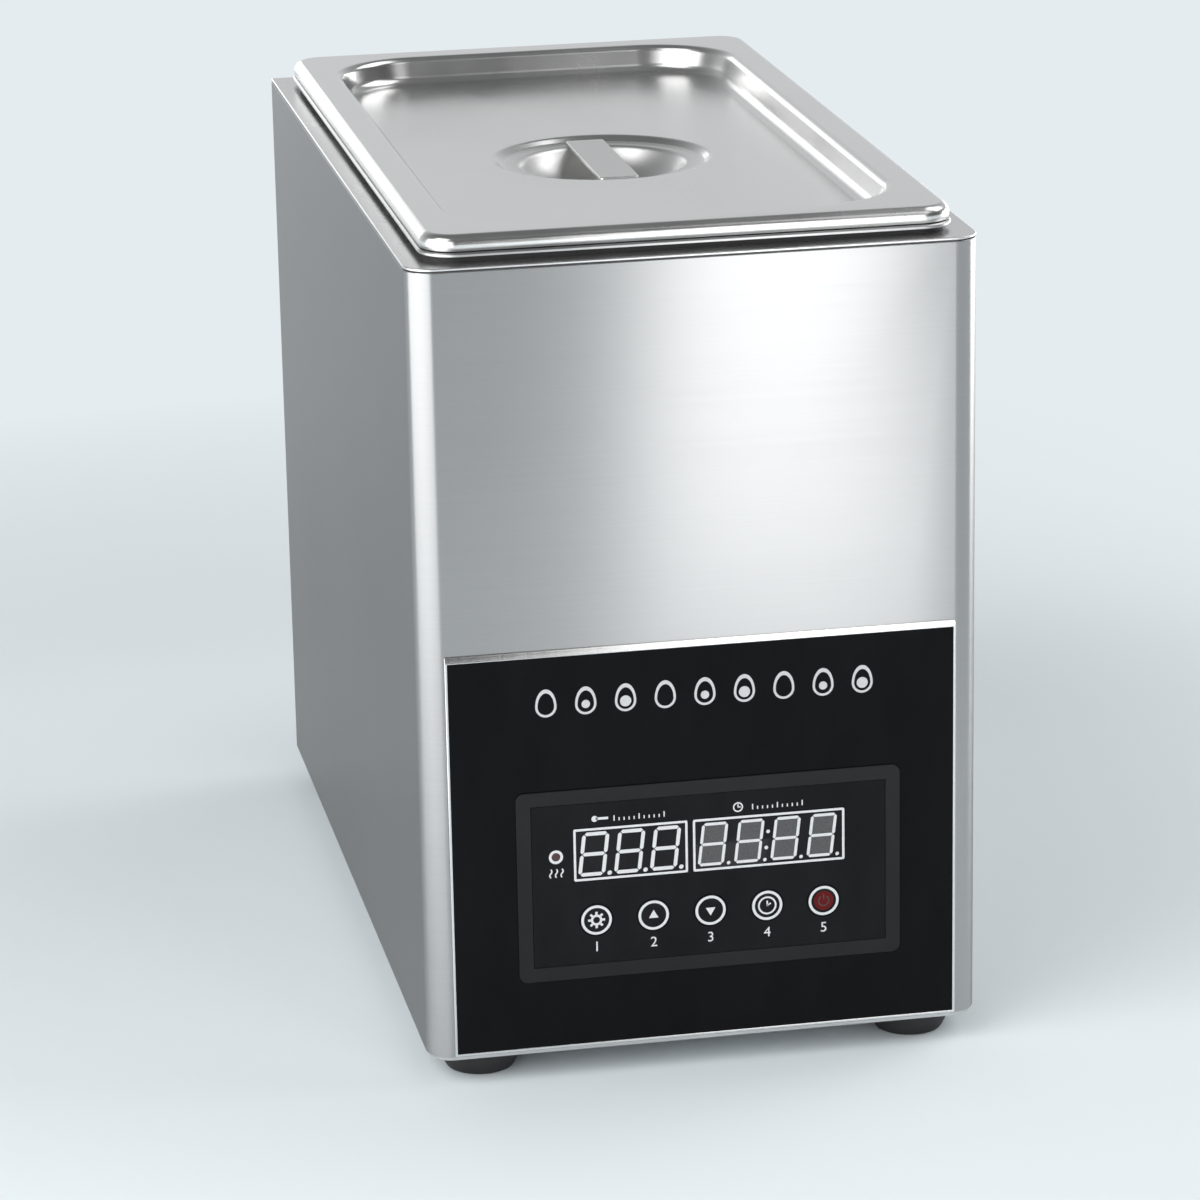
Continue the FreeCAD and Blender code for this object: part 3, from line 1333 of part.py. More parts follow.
def control_panel():
    body = body_named("control_panel")
    plan = rectangle(
        sketch_on(body, "XZ_Plane", "-casing_front"),
        "-panel_x", "panel_x", "panel_low", "panel_top",
    )
    pad(body, plan, "panel_sheet")
    opening = sketch_on(body, "XZ_Plane", "-panel_face")
    window(opening)
    pocket(body, opening, "2 * panel_sheet")
    return piece(body, "control_panel")


def panel_trim():
    """The bright frame round the panel, sloped along its top."""
    body = body_named("panel_trim")
    plan = sketch_on(body, "XZ_Plane", "-casing_front")
    rectangle(
        plan, "-(panel_x + trim_side)", "panel_x + trim_side",
        "panel_low - trim_side", "panel_top + trim_top",
    )
    rectangle(plan, "-panel_x", "panel_x", "panel_low", "panel_top")
    pad(body, plan, "trim_sheet")
    slope = polygon(
        sketch_on(body, "YZ_Plane", "-side"),
        [
            ("casing_front - trim_sheet", "panel_top + trim_brow"),
            ("casing_front - trim_sheet", "panel_top + trim_top"),
            ("casing_front - trim_edge", "panel_top + trim_top"),
        ],
    )
    pocket(body, slope, "body_width", reverse=True)
    return piece(body, "panel_trim")


KEYS = ("setting_key", "raise_key", "lower_key", "timer_key", "power_key")


def face_openings(sketch, key_play, display_play):
    """The openings for both displays, the lamp and the five keys."""
    for left, width in (("displays_left", "temperature_width"), ("timer_left", "timer_width")):
        rectangle(
            sketch, f"{left} - {display_play}", f"{left} + {width} + {display_play}",
            f"display_low - {display_play}", f"display_low + display_height + {display_play}",
        )
    hole(sketch, "lamp_x", "lamp_z", "lamp_radius + fit_play")
    for step in range(len(KEYS)):
        hole(sketch, f"first_key_x + {step} * key_pitch", "key_z", f"key_radius + {key_play}")


def controller_housing():
    """The moulded housing: bezel, box, board posts and all its windows."""
    body = body_named("controller_housing")
    border = rounded(
        sketch_on(body, "XZ_Plane", "-front"),
        "bezel_shift - bezel_half", "bezel_shift + bezel_half",
        "bezel_z - bezel_height / 2", "bezel_z + bezel_height / 2", "bezel_corner",
    )
    pad(body, border, "bezel_lip", reverse=True)
    box = rectangle(
        sketch_on(body, "XZ_Plane", "-(front + bezel_lip)"),
        "bezel_shift - box_half_x", "bezel_shift + box_half_x",
        "bezel_z - box_half_z", "bezel_z + box_half_z",
    )
    pad(body, box, "housing_depth - bezel_lip", reverse=True)
    bed = rectangle(
        sketch_on(body, "XZ_Plane", "-front"),
        "bezel_shift - overlay_half_x", "bezel_shift + overlay_half_x",
        "bezel_z - overlay_half_z", "bezel_z + overlay_half_z",
    )
    pocket(body, bed, "overlay_sink + overlay_sheet")
    cavity = rectangle(
        sketch_on(body, "XZ_Plane", "-box_rear"),
        "bezel_shift - box_half_x + housing_wall", "bezel_shift + box_half_x - housing_wall",
        "bezel_z - box_half_z + housing_wall", "bezel_z + box_half_z - housing_wall",
    )
    pocket(body, cavity, "box_rear - front_wall_back", reverse=True)
    posts = sketch_on(body, "XZ_Plane", "-front_wall_back")
    for x, z in post_places():
        hole(posts, x, z, "post_radius")
        hole(posts, x, z, "post_screw")
    pad(body, posts, "board_front - front_wall_back", reverse=True)
    openings = sketch_on(body, "XZ_Plane", "-overlay_back")
    face_openings(openings, "key_fit", "display_fit")
    pocket(body, openings, "housing_wall")
    return piece(body, "controller_housing")


def post_places():
    return [
        (f"bezel_shift {across} post_x", f"bezel_z {up} post_z")
        for across in "-+" for up in "-+"
    ]


def keypad_overlay():
    body = body_named("keypad_overlay")
    plan = rectangle(
        sketch_on(body, "XZ_Plane", "-overlay_back"),
        "bezel_shift - overlay_half_x + fit_play", "bezel_shift + overlay_half_x - fit_play",
        "bezel_z - overlay_half_z + fit_play", "bezel_z + overlay_half_z - fit_play",
    )
    pad(body, plan, "overlay_sheet")
    openings = sketch_on(body, "XZ_Plane", "-overlay_face")
    face_openings(openings, "key_fit", "display_fit")
    pocket(body, openings, "2 * overlay_sheet")
    return piece(body, "keypad_overlay")


def display(label, left, width):
    """A digit module: a raised rim round a face, on the controller board."""
    body = body_named(label)
    high = "display_low + display_height"
    plan = rectangle(
        sketch_on(body, "XZ_Plane", "-board_front"), left, f"{left} + {width}", "display_low", high,
    )
    pad(body, plan, "board_front - overlay_face")
    face = rectangle(
        sketch_on(body, "XZ_Plane", "-overlay_face"),
        f"{left} + display_rim", f"{left} + {width} - display_rim",
        "display_low + display_rim", f"{high} - display_rim",
    )
    pocket(body, face, "display_face")
    return piece(body, label)


def controller_inside():
    lamp = rod("lamp_x", "overlay_face", "lamp_z", "lamp_radius", "board_front - overlay_face", "y")
    piece(lamp, "heating_lamp")
    board = block(
        "bezel_shift - box_half_x + housing_wall + housing_fit", "board_front",
        "bezel_z - box_half_z + housing_wall + housing_fit",
        "2 * (box_half_x - housing_wall - housing_fit)", "board_sheet",
        "2 * (box_half_z - housing_wall - housing_fit)",
    )
    holes = [
        rod(x, "board_front - 1", z, "post_screw + bolt_fit", "board_sheet + 2", "y")
        for x, z in post_places()
    ]
    socket = block(
        "bezel_shift - socket_width / 2", "board_back", "bezel_z - socket_height / 2",
        "socket_width", "box_rear - board_back - 1", "socket_height",
    )
    piece(fuse(cut(board, *holes), socket), "controller_board")
    screws = []
    for x, z in post_places():
        start = "board_front - post_screw_grip"
        shank = rod(x, start, z, "post_screw", "board_sheet + post_screw_grip", "y")
        head = rod(x, "board_back", z, "post_screw_head", "post_head_height", "y")
        screws.append(fuse(head, shank))
    piece(group(*screws), "controller_screws")
    switches = []
    for step in range(len(KEYS)):
        x = f"first_key_x + {step} * key_pitch"
        case = block(
            f"{x} - switch_size / 2", "board_front - switch_height", "key_z - switch_size / 2",
            "switch_size", "switch_height", "switch_size",
        )
        plunger = rod(x, "plunger_tip", "key_z", "plunger_radius", "plunger_height", "y")
        switches.append(fuse(case, plunger))
    piece(group(*switches), "key_switches")
    cover = block(
        "bezel_shift - box_half_x", "box_rear", "bezel_z - box_half_z",
        "2 * box_half_x", "back_cover", "2 * box_half_z",
    )
    slot = block(
        "bezel_shift - socket_width / 2 - 1", "box_rear - 1", "bezel_z - socket_height / 2 - 1",
        "socket_width + 2", "back_cover + 2", "socket_height + 2",
    )
    piece(cut(cover, slot), "controller_cover")


def controller_clamps():
    """Two angles that hold the controller's box against the casing."""
    clamps = []
    inner = "casing_front + casing_sheet"
    for side_of_box in (-1, 1):
        edge = f"bezel_shift + {side_of_box} * (box_half_x + housing_fit / 2)"
        arm_x = edge if side_of_box > 0 else f"{edge} - clamp_sheet"
        foot_x = f"{edge} + housing_fit" if side_of_box > 0 else f"{edge} - clamp_foot"
        arm = block(
            arm_x, inner, "bezel_z - clamp_width / 2",
            "clamp_sheet", f"box_rear - ({inner})", "clamp_width",
        )
        foot = block(
            foot_x, inner, "bezel_z - clamp_width / 2",
            "clamp_foot - housing_fit", "clamp_sheet", "clamp_width",
        )
        clamps.append(fuse(arm, foot))
    return piece(group(*clamps), "controller_clamps")


def keys():
    """Each key: a disc in the overlay, a collar behind it and a stem."""
    collar_back = "front_wall_back + fit_play + collar_sheet"
    stem_end = "plunger_tip - key_travel - fit_play"
    for step, label in enumerate(KEYS):
        x = f"first_key_x + {step} * key_pitch"
        disc = rod(x, "front", "key_z", "key_radius", f"{collar_back} - front", "y")
        collar = block(
            f"{x} - key_collar", "front_wall_back + fit_play", "key_z - collar_height / 2",
            "2 * key_collar", "collar_sheet", "collar_height",
        )
        stem = block(
            f"{x} - key_stem", collar_back, "key_z - key_stem",
            "2 * key_stem", f"{stem_end} - ({collar_back})", "2 * key_stem",
        )
        piece(fuse(disc, collar, stem), label)


# ---------------------------------------------------------------- power electronics

def power_section():
    corners = [
        (f"power_left + {across}", f"power_near + {along}")
        for across in ("standoff_inset", "power_width - standoff_inset")
        for along in ("standoff_inset", "power_length - standoff_inset")
    ]
    board = block("power_left", "power_near", "power_low", "power_width", "power_length", "board_sheet")
    holes = [rod(x, y, "power_low - 1", "post_screw + bolt_fit", "board_sheet + 2") for x, y in corners]
    piece(cut(board, *holes), "power_board")
    snap_low = "power_top + snap_play"
    piece(group(*[
        fuse(
            rod(x, y, "tray_top", "standoff_radius", "standoff_height"),
            rod(x, y, "power_low", "post_screw", "board_sheet + snap_play"),
            cone(x, y, snap_low, "snap_radius", "snap_radius / 2", "snap_height"),
        )
        for x, y in corners
    ]), "board_standoffs")
    relay_x = "power_left + relay_left"
    relay_y = "power_near + power_length - relay_length - relay_rear"
    case = block(relay_x, relay_y, "power_top", "relay_width", "relay_length", "relay_height")
    ears = block(
        f"{relay_x} + relay_width / 2 - relay_ear_width / 2", f"{relay_y} - relay_ear",
        "power_top", "relay_ear_width", "relay_length + 2 * relay_ear", "relay_ear_sheet",
    )
    piece(fuse(case, ears), "heater_relay")
    core_x = "power_left + power_width - core_length - core_right"
    core_y = "power_y - core_width / 2"
    core = block(core_x, core_y, "power_top", "core_length", "core_width", "core_height")
    coil = block(
        f"{core_x} + coil_inset", f"{core_y} - coil_overhang", "power_top + coil_lift",
        "core_length - 2 * coil_inset", "core_width + 2 * coil_overhang",
        "core_height - 2 * coil_lift",
    )
    piece(fuse(core, coil), "power_transformer")
    block_x = "power_left + power_width / 2 - block_length / 2"
    block_y = "power_near + block_near"
    way = "block_length / block_ways"
    body = body_named("terminal_block")
    plan = rectangle(
        sketch_on(body, "XY_Plane", "power_top"),
        block_x, f"{block_x} + block_length", block_y, f"{block_y} + block_width",
    )
    pad(body, plan, "block_height")
    funnel = rectangle(
        sketch_on(body, "XZ_Plane", f"-({block_y})"),
        f"{block_x} + block_wall", f"{block_x} + {way} - block_wall",
        "power_top + block_wall", "power_top + block_wall + block_mouth",
    )
    mouth = pocket(body, funnel, "block_width / 2")
    repeat(body, [mouth], "X_Axis", way, "block_ways")
    piece(body, "terminal_block")


def cable_gland():
    """The inlet gland: body, clamping nut outside and locknut inside."""
    hexed = hexagon("gland_x", "rear", "gland_z", "gland_across", "gland_hex", "y")
    start = "rear - gland_inside"
    run = "gland_inside + gland_hex + gland_outside"
    thread = rod("gland_x", start, "gland_z", "gland_thread", run, "y")
    bore = rod("gland_x", f"{start} - 1", "gland_z", "gland_bore", f"{run} + 2", "y")
    piece(cut(fuse(hexed, thread), bore), "cable_gland")
    seat = "rear + gland_hex"
    cap = fuse(
        hexagon("gland_x", seat, "gland_z", "gland_across", "gland_cap - gland_nose", "y"),
        rod("gland_x", seat, "gland_z", "gland_thread + gland_wall", "gland_cap", "y"),
    )
    room = rod("gland_x", f"{seat} - 1", "gland_z", "gland_thread", "gland_outside + 1", "y")
    way = rod("gland_x", seat, "gland_z", "gland_mouth", "gland_cap + 1", "y")
    piece(cut(cap, room, way), "gland_nut")
    nut_y = "rear - back_sheet - locknut_sheet"
    piece(cut(
        hexagon("gland_x", nut_y, "gland_z", "gland_across", "locknut_sheet", "y"),
        rod("gland_x", f"{nut_y} - 1", "gland_z", "gland_thread", "locknut_sheet + 2", "y"),
    ), "gland_locknut")


# ---------------------------------------------------------------- whole

def check():
    """Stop at any failed feature, cut that cut nothing, or broken shape."""
    for item in document.Objects:
        if "Invalid" in item.State or "Error" in item.State:
            raise RuntimeError(f"{item.Name} ({item.Label}) failed: {item.State}")
        if item.TypeId in ("PartDesign::Pocket", "PartDesign::Groove"):
            before = item.BaseFeature.Shape.Volume
            if item.Shape.Volume > before - 1e-6:
                raise RuntimeError(f"{item.Name} cuts nothing")
    for item in PIECES:
        if item.Shape.isNull() or not item.Shape.isValid() or not item.Shape.Solids:
            raise RuntimeError(f"{item.Label} has no valid shape")


def build():
    outer_casing()
    back_panel()
    top_deck()
    base_tray()
    feet()
    foot_fasteners()
    back_screws()
    lid_cover()
    lid_strap()
    water_tank()
    tank_seal()
    element_guard()
    heating_element()
    element_fittings()
    temperature_probe()
    overheat_cutout()
    egg_basket()
    basket_handles()
    drain_line()
    cock_body()
    cock_handle()
    control_panel()
    panel_trim()
    controller_housing()
    keypad_overlay()
    display("temperature_display", "displays_left", "temperature_width")
    display("timer_display", "timer_left", "timer_width")
    controller_inside()
    controller_clamps()
    keys()
    power_section()
    cable_gland()
    document.recompute()
    check()
    os.makedirs("parts", exist_ok=True)
    for item in PIECES:
        item.Shape.exportStep(f"parts/{item.Label}.step")
    print(f"{len(PIECES)} sub-parts written")


build()
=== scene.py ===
"""Looks of a counter egg boiler: sheet steel casing, pressed lid, control panel, drain.

The frame holds the boiler's solid sub-parts. Each operator below makes one piece, or
one group of like pieces, in metres and in the frame's own axes: X to the right of
someone facing the control panel, Y to the back, Z up.
"""
import json
from math import cos, pi, radians, sin

import bmesh
import bpy
from bpy.props import FloatProperty, FloatVectorProperty, IntProperty, PointerProperty
from mathutils import Matrix, Vector


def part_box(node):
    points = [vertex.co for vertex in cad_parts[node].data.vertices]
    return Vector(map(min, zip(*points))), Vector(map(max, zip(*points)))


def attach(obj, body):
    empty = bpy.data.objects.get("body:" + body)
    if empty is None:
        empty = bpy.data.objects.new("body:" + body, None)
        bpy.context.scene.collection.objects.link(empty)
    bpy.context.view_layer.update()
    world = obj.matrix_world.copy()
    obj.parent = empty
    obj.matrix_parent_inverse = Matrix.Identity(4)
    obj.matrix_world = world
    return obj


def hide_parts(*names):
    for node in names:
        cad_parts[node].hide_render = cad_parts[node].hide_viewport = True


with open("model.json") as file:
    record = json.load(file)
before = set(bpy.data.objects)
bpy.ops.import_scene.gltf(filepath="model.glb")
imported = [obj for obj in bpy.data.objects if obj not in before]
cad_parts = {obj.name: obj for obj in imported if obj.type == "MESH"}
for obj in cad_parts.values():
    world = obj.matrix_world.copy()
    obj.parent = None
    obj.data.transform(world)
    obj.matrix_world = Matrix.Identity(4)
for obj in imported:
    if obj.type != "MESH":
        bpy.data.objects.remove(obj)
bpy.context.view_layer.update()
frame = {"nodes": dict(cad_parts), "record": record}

bl_info = {
    "name": "Counter Egg Boiler",
    "version": (1, 0, 0),
    "blender": (4, 5, 0),
    "location": "View3D > Sidebar > Egg Boiler",
    "description": "Steel, glass, print and small hardware of a counter egg boiler",
    "category": "Object",
}

NODES = frame["nodes"]
TO_FRONT = Matrix.Rotation(radians(90), 4, "X")  # a drawing in X and Y, stood up to face -Y
DIGIT_WIDTH = 0.56  # of a digit's height
MIX_AMOUNT, MIX_FIRST, MIX_SECOND, MIX_RESULT = 0, 6, 7, 2  # a Mix node's colour sockets
FRONT_KEYS = ("setting", "raise", "lower", "timer", "power")  # from left to right

# Each lamp's name, place, aim, width, height and spread in degrees.
LAMPS = (
    ("strip", (0.170, -0.76, 0.26), (0.036, -0.10, 0.26), 0.16, 0.60, 180),
    ("high", (0.435, -0.76, 0.98), (0.05, -0.19, 0.29), 0.33, 0.46, 180),
    ("wing", (-0.56, -0.50, 0.42), (0.0, -0.18, 0.42), 1.38, 0.84, 180),
    ("edge", (0.76, 0.40, 0.22), (0.0, 0.10, 0.21), 1.20, 0.40, 120),
    ("rear", (-0.35, 1.6, 0.41), (-0.05, 0.0, 0.41), 0.66, 0.66, 180),
    ("key", (1.5, 0.1, 1.9), (0.0, 0.0, 0.1), 1.5, 1.5, 180),
    ("fill", (-1.4, -0.9, 1.9), (0.0, 0.0, 0.1), 1.5, 1.5, 180),
)


def mm(*values):
    """Millimetres as metres: one number, or a vector of them."""
    return values[0] / 1000 if len(values) == 1 else Vector(v / 1000 for v in values)


def middle(node):
    """The middle of a frame part's box."""
    low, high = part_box(node)
    return (low + high) / 2


# ---------------------------------------------------------------- settings


class BoilerSizes(bpy.types.PropertyGroup):
    """Sizes of the pieces that the frame doesn't fix."""

    sheet_break: FloatProperty(
        name="Sheet break", description="Radius of a folded sheet's visible edges",
        default=0.0004, unit="LENGTH")
    hardware_break: FloatProperty(
        name="Hardware break", description="Radius of the edges of nuts and levers",
        default=0.0003, unit="LENGTH")
    lid_sheet: FloatProperty(
        name="Lid sheet", description="Thickness of the pressed lid",
        default=0.0008, unit="LENGTH")
    lid_edge: FloatProperty(
        name="Lid edge", description="Radius of the lid's outer edge",
        default=0.0034, unit="LENGTH")
    lid_brow: FloatProperty(
        name="Lid brow", description="Radius where the lid's flange turns into its recess",
        default=0.0030, unit="LENGTH")
    digit_height: FloatProperty(
        name="Digit height", description="Height of a display's digits",
        default=0.0142, unit="LENGTH")
    digit_slant: FloatProperty(
        name="Digit slant", description="Lean of the digits, sideways for each height",
        default=0.12)
    print_height: FloatProperty(
        name="Print height", description="Thickness of printed marks",
        default=0.00005, unit="LENGTH")
    curve_steps: IntProperty(
        name="Curve steps", description="Straight runs in a quarter turn",
        default=12, min=4, max=32)


class BoilerColours(bpy.types.PropertyGroup):
    """Colours of the finishes."""

    casing: FloatVectorProperty(
        name="Casing steel", description="Colour of the brushed casing",
        default=(0.46, 0.46, 0.46), size=3, subtype="COLOR")
    bright: FloatVectorProperty(
        name="Bright steel", description="Colour of the lid, deck and frame",
        default=(0.78, 0.78, 0.775), size=3, subtype="COLOR")
    panel: FloatVectorProperty(
        name="Panel black", description="Colour of the control panel",
        default=(0.0035, 0.0035, 0.004), size=3, subtype="COLOR")
    ink: FloatVectorProperty(
        name="Ink", description="Colour of the printed marks",
        default=(0.80, 0.81, 0.82), size=3, subtype="COLOR")
    floor: FloatVectorProperty(
        name="Floor", description="Colour of the studio's floor",
        default=(0.84, 0.90, 0.93), size=3, subtype="COLOR")


class BoilerStudio(bpy.types.PropertyGroup):
    """Camera and lamps."""

    lens: FloatProperty(
        name="Lens", description="Focal length of the camera, in millimetres", default=144.84)
    eye: FloatVectorProperty(
        name="Eye", description="Place of the camera",
        default=(-0.315332, -1.691304, 0.629581), size=3, subtype="TRANSLATION", precision=6)
    turn: FloatProperty(
        name="Turn", description="Turn of the camera about the vertical",
        default=radians(-10.707), subtype="ANGLE")
    lift: FloatProperty(
        name="Lift", description="Angle at which the camera looks down",
        default=radians(16.999), subtype="ANGLE")
    roll: FloatProperty(
        name="Roll", description="Lean of the camera to the side",
        default=radians(-1.073), subtype="ANGLE")
    floor_lit: FloatProperty(
        name="Lit floor", description="How far out the floor shows its light and shadow",
        default=0.36, unit="LENGTH")
    floor_even: FloatProperty(
        name="Even floor", description="From how far out the floor looks even",
        default=0.74, unit="LENGTH")
    backdrop: FloatProperty(
        name="Backdrop", description="How pale the floor looks far from the boiler",
        default=0.93)
    behind: FloatProperty(
        name="Light behind", description="Strength of the even light low behind", default=0.74)
    before: FloatProperty(
        name="Light before", description="Strength of the even light low in front", default=0.05)
    zenith: FloatProperty(
        name="Zenith", description="Strength of the even light from straight above", default=0.15)
    strip: FloatProperty(
        name="Strip lamp", description="Power of the upright strip lamp in front",
        default=0.77, unit="POWER")
    high: FloatProperty(
        name="High lamp", description="Power of the small lamp high in front",
        default=0.5, unit="POWER")
    wing: FloatProperty(
        name="Wing lamp", description="Power of the wide soft lamp in front on the left",
        default=6.9, unit="POWER")
    edge: FloatProperty(
        name="Edge lamp", description="Power of the low lamp behind on the right",
        default=2.8, unit="POWER")
    rear: FloatProperty(
        name="Rear lamp", description="Power of the low lamp behind on the left",
        default=1.7, unit="POWER")
    key: FloatProperty(
        name="Key lamp", description="Power of the large soft lamp high on the right",
        default=14.0, unit="POWER")
    fill: FloatProperty(
        name="Fill lamp", description="Power of the large soft lamp high on the left",
        default=14.0, unit="POWER")


def sizes():
    return bpy.context.scene.boiler_sizes


def colours():
    return bpy.context.scene.boiler_colours


def shade(colour, by=1.0):
    """A colour made darker or lighter, with its alpha."""
    return (*(min(1.0, c * by) for c in colour[:3]), 1.0)


# ---------------------------------------------------------------- finishes


class Recipe:
    """One finish in the making: a Principled shader and the nodes that feed it."""

    def __init__(self, name):
        self.material = bpy.data.materials.new(name)
        self.material.use_nodes = True
        self.tree = self.material.node_tree
        self.shader = next(n for n in self.tree.nodes if n.type == "BSDF_PRINCIPLED")

    def node(self, kind, inputs, output, **settings):
        """Add a shader node, feed its inputs and give back one output."""
        made = self.tree.nodes.new("ShaderNode" + kind)
        for name, value in settings.items():
            setattr(made, name, value)
        for name, value in inputs.items():
            if isinstance(value, bpy.types.NodeSocket):
                self.tree.links.new(value, made.inputs[name])
            else:
                made.inputs[name].default_value = value
        return made.outputs[output]

    def place(self, scale=(1, 1, 1), turn=(0, 0, 0)):
        """Object coordinates, scaled and turned."""
        raw = self.node("TexCoord", {}, "Object")
        return self.node("Mapping", {"Vector": raw, "Scale": scale, "Rotation": turn}, "Vector")

    def noise(self, place, scale, detail=4.0, rough=0.55):
        """Soft noise from 0 to 1."""
        return self.node(
            "TexNoise",
            {"Vector": place, "Scale": scale, "Detail": detail, "Roughness": rough}, "Fac")

    def span(self, amount, low, high, start=0.35, end=0.65):
        """An amount stretched from start...end to low...high."""
        return self.node(
            "MapRange",
            {"Value": amount, "From Min": start, "From Max": end, "To Min": low, "To Max": high},
            "Result")

    def add(self, first, second):
        """The sum of two amounts."""
        return self.node("Math", {0: first, 1: second}, "Value", operation="ADD")

    def blend(self, amount, first, second):
        """A colour between two others."""
        return self.node(
            "Mix", {MIX_AMOUNT: amount, MIX_FIRST: first, MIX_SECOND: second}, MIX_RESULT,
            data_type="RGBA")

    def bumps(self, height, distance, strength):
        """Give the surface a relief."""
        normal = self.node(
            "Bump", {"Height": height, "Distance": distance, "Strength": strength}, "Normal")
        self.wear(Normal=normal)

    def wear(self, **inputs):
        """Give the shader its values; a name's underscores stand for spaces."""
        for name, value in inputs.items():
            socket = self.shader.inputs[name.replace("_", " ")]
            if isinstance(value, bpy.types.NodeSocket):
                self.tree.links.new(value, socket)
            else:
                socket.default_value = value


def brushed_steel(name, colour, rough, run=(7, 7, 1300), stretch=0.8, upright=True):
    """Sheet with a fine brushed grain that runs level on its walls."""
    made = Recipe(name)
    grain = made.noise(made.place(run), 1.0, 5.0, 0.6)
    cloud = made.noise(made.place(), 9.0, 3.0)
    tint = made.span(made.add(grain, cloud), 0.0, 1.0, 0.7, 1.3)
    made.wear(
        Base_Color=made.blend(tint, shade(colour, 0.965), shade(colour, 1.03)),
        Metallic=1.0,
        Specular_Tint=(0.5, 0.5, 0.5, 1),
        Roughness=made.span(grain, rough - 0.012, rough + 0.016),
        Anisotropic=stretch,
        Anisotropic_Rotation=0.25 if upright else 0.0,
    )
    made.bumps(grain, 0.000004, 0.2)
    return made.material


def satin_steel(name, colour, rough, speck=1500.0, depth=0.000004, bowl=None):
    """Pressed or drawn sheet: softly clouded, finely speckled, without a grain.

    Where it is drawn deep, within 36 mm of the point bowl, it is duller.
    """
    made = Recipe(name)
    cloud = made.noise(made.place((1, 0.5, 1)), 17.0, 3.0, 0.5)
    specks = made.noise(made.place(), speck, 2.0)
    dullness = made.span(cloud, rough - 0.035, rough + 0.045)
    if bowl:
        away = made.node(
            "VectorMath", {0: made.place(), 1: bowl}, "Value", operation="DISTANCE")
        dullness = made.add(dullness, made.span(away, 0.13, 0.0, mm(30), mm(36)))
    made.wear(
        Base_Color=made.blend(
            made.span(cloud, 0.0, 1.0), shade(colour, 0.94), shade(colour, 1.03)),
        Metallic=1.0,
        Roughness=dullness,
    )
    made.bumps(specks, depth, 0.2)
    return made.material


def plated(name, colour, rough, patina=0.8):
    """Turned or cast metal with a thin plating and duller patches."""
    made = Recipe(name)
    patches = made.noise(made.place(), 160.0, 5.0, 0.65)
    turning = made.noise(made.place((90, 2400, 90)), 1.0, 2.0)
    made.wear(
        Base_Color=made.blend(
            made.span(patches, 0.0, 1.0), shade(colour, patina), shade(colour, 1.0)),
        Metallic=1.0,
        Roughness=made.span(patches, rough + 0.10, rough - 0.04),
    )
    made.bumps(made.add(patches, turning), 0.00002, 0.3)
    return made.material


def moulding(name, colour, rough, texture, depth=0.00003, coat=0.0, shine=0.5):
    """Moulded plastic, rubber or lacquer with a fine skin."""
    made = Recipe(name)
    skin = made.noise(made.place(), texture, 3.0, 0.6)
    dust = made.noise(made.place(), 45.0, 7.0, 0.7)
    made.wear(
        Base_Color=made.blend(
            made.span(dust, 0.0, 1.0, 0.4, 0.75), shade(colour, 0.92), shade(colour, 1.25)),
        Roughness=made.span(dust, rough - 0.03, rough + 0.06),
        Specular_IOR_Level=shine,
        Coat_Weight=coat,
        Coat_Roughness=0.04,
    )
    made.bumps(skin, depth, 0.5)
    return made.material


def glass_black(name, colour, rough=0.07, shine=0.12):
    """Back-printed black sheet: deep and glossy, with wiping marks in its shine."""
    made = Recipe(name)
    wipes = made.noise(made.place((22, 1, 9), (0, radians(24), 0)), 3.0, 5.0, 0.6)
    ripple = made.noise(made.place(), 60.0, 2.0)
    made.wear(
        Base_Color=made.blend(
            made.span(wipes, 0.0, 1.0), shade(colour, 0.85), shade(colour, 1.3)),
        Roughness=made.span(wipes, rough, rough + 0.07),
        Specular_IOR_Level=shine,
    )
    made.bumps(ripple, 0.00003, 0.12)
    return made.material


def printed(name, colour, rough=0.42, shine=0.5):
    """Screen-printed ink, slightly uneven in its cover."""
    made = Recipe(name)
    cover = made.noise(made.place(), 2600.0, 2.0)
    made.wear(
        Base_Color=made.blend(
            made.span(cover, 0.0, 1.0), shade(colour, 0.86), shade(colour, 1.0)),
        Roughness=made.span(cover, rough - 0.05, rough + 0.08),
        Specular_IOR_Level=shine,
    )
    return made.material


def laminate(name):
    """Green board: solder mask over a faint weave with tracks."""
    made = Recipe(name)
    weave = made.node(
        "TexBrick",
        {"Vector": made.place(), "Scale": 260.0, "Mortar Size": 0.03,
         "Color1": (0.01, 0.13, 0.05, 1), "Color2": (0.015, 0.17, 0.07, 1),
         "Mortar": (0.03, 0.26, 0.11, 1)}, "Color")
    made.wear(Base_Color=weave, Roughness=0.35, Coat_Weight=0.3)
    made.bumps(made.noise(made.place(), 500.0), 0.00004, 0.3)
    return made.material


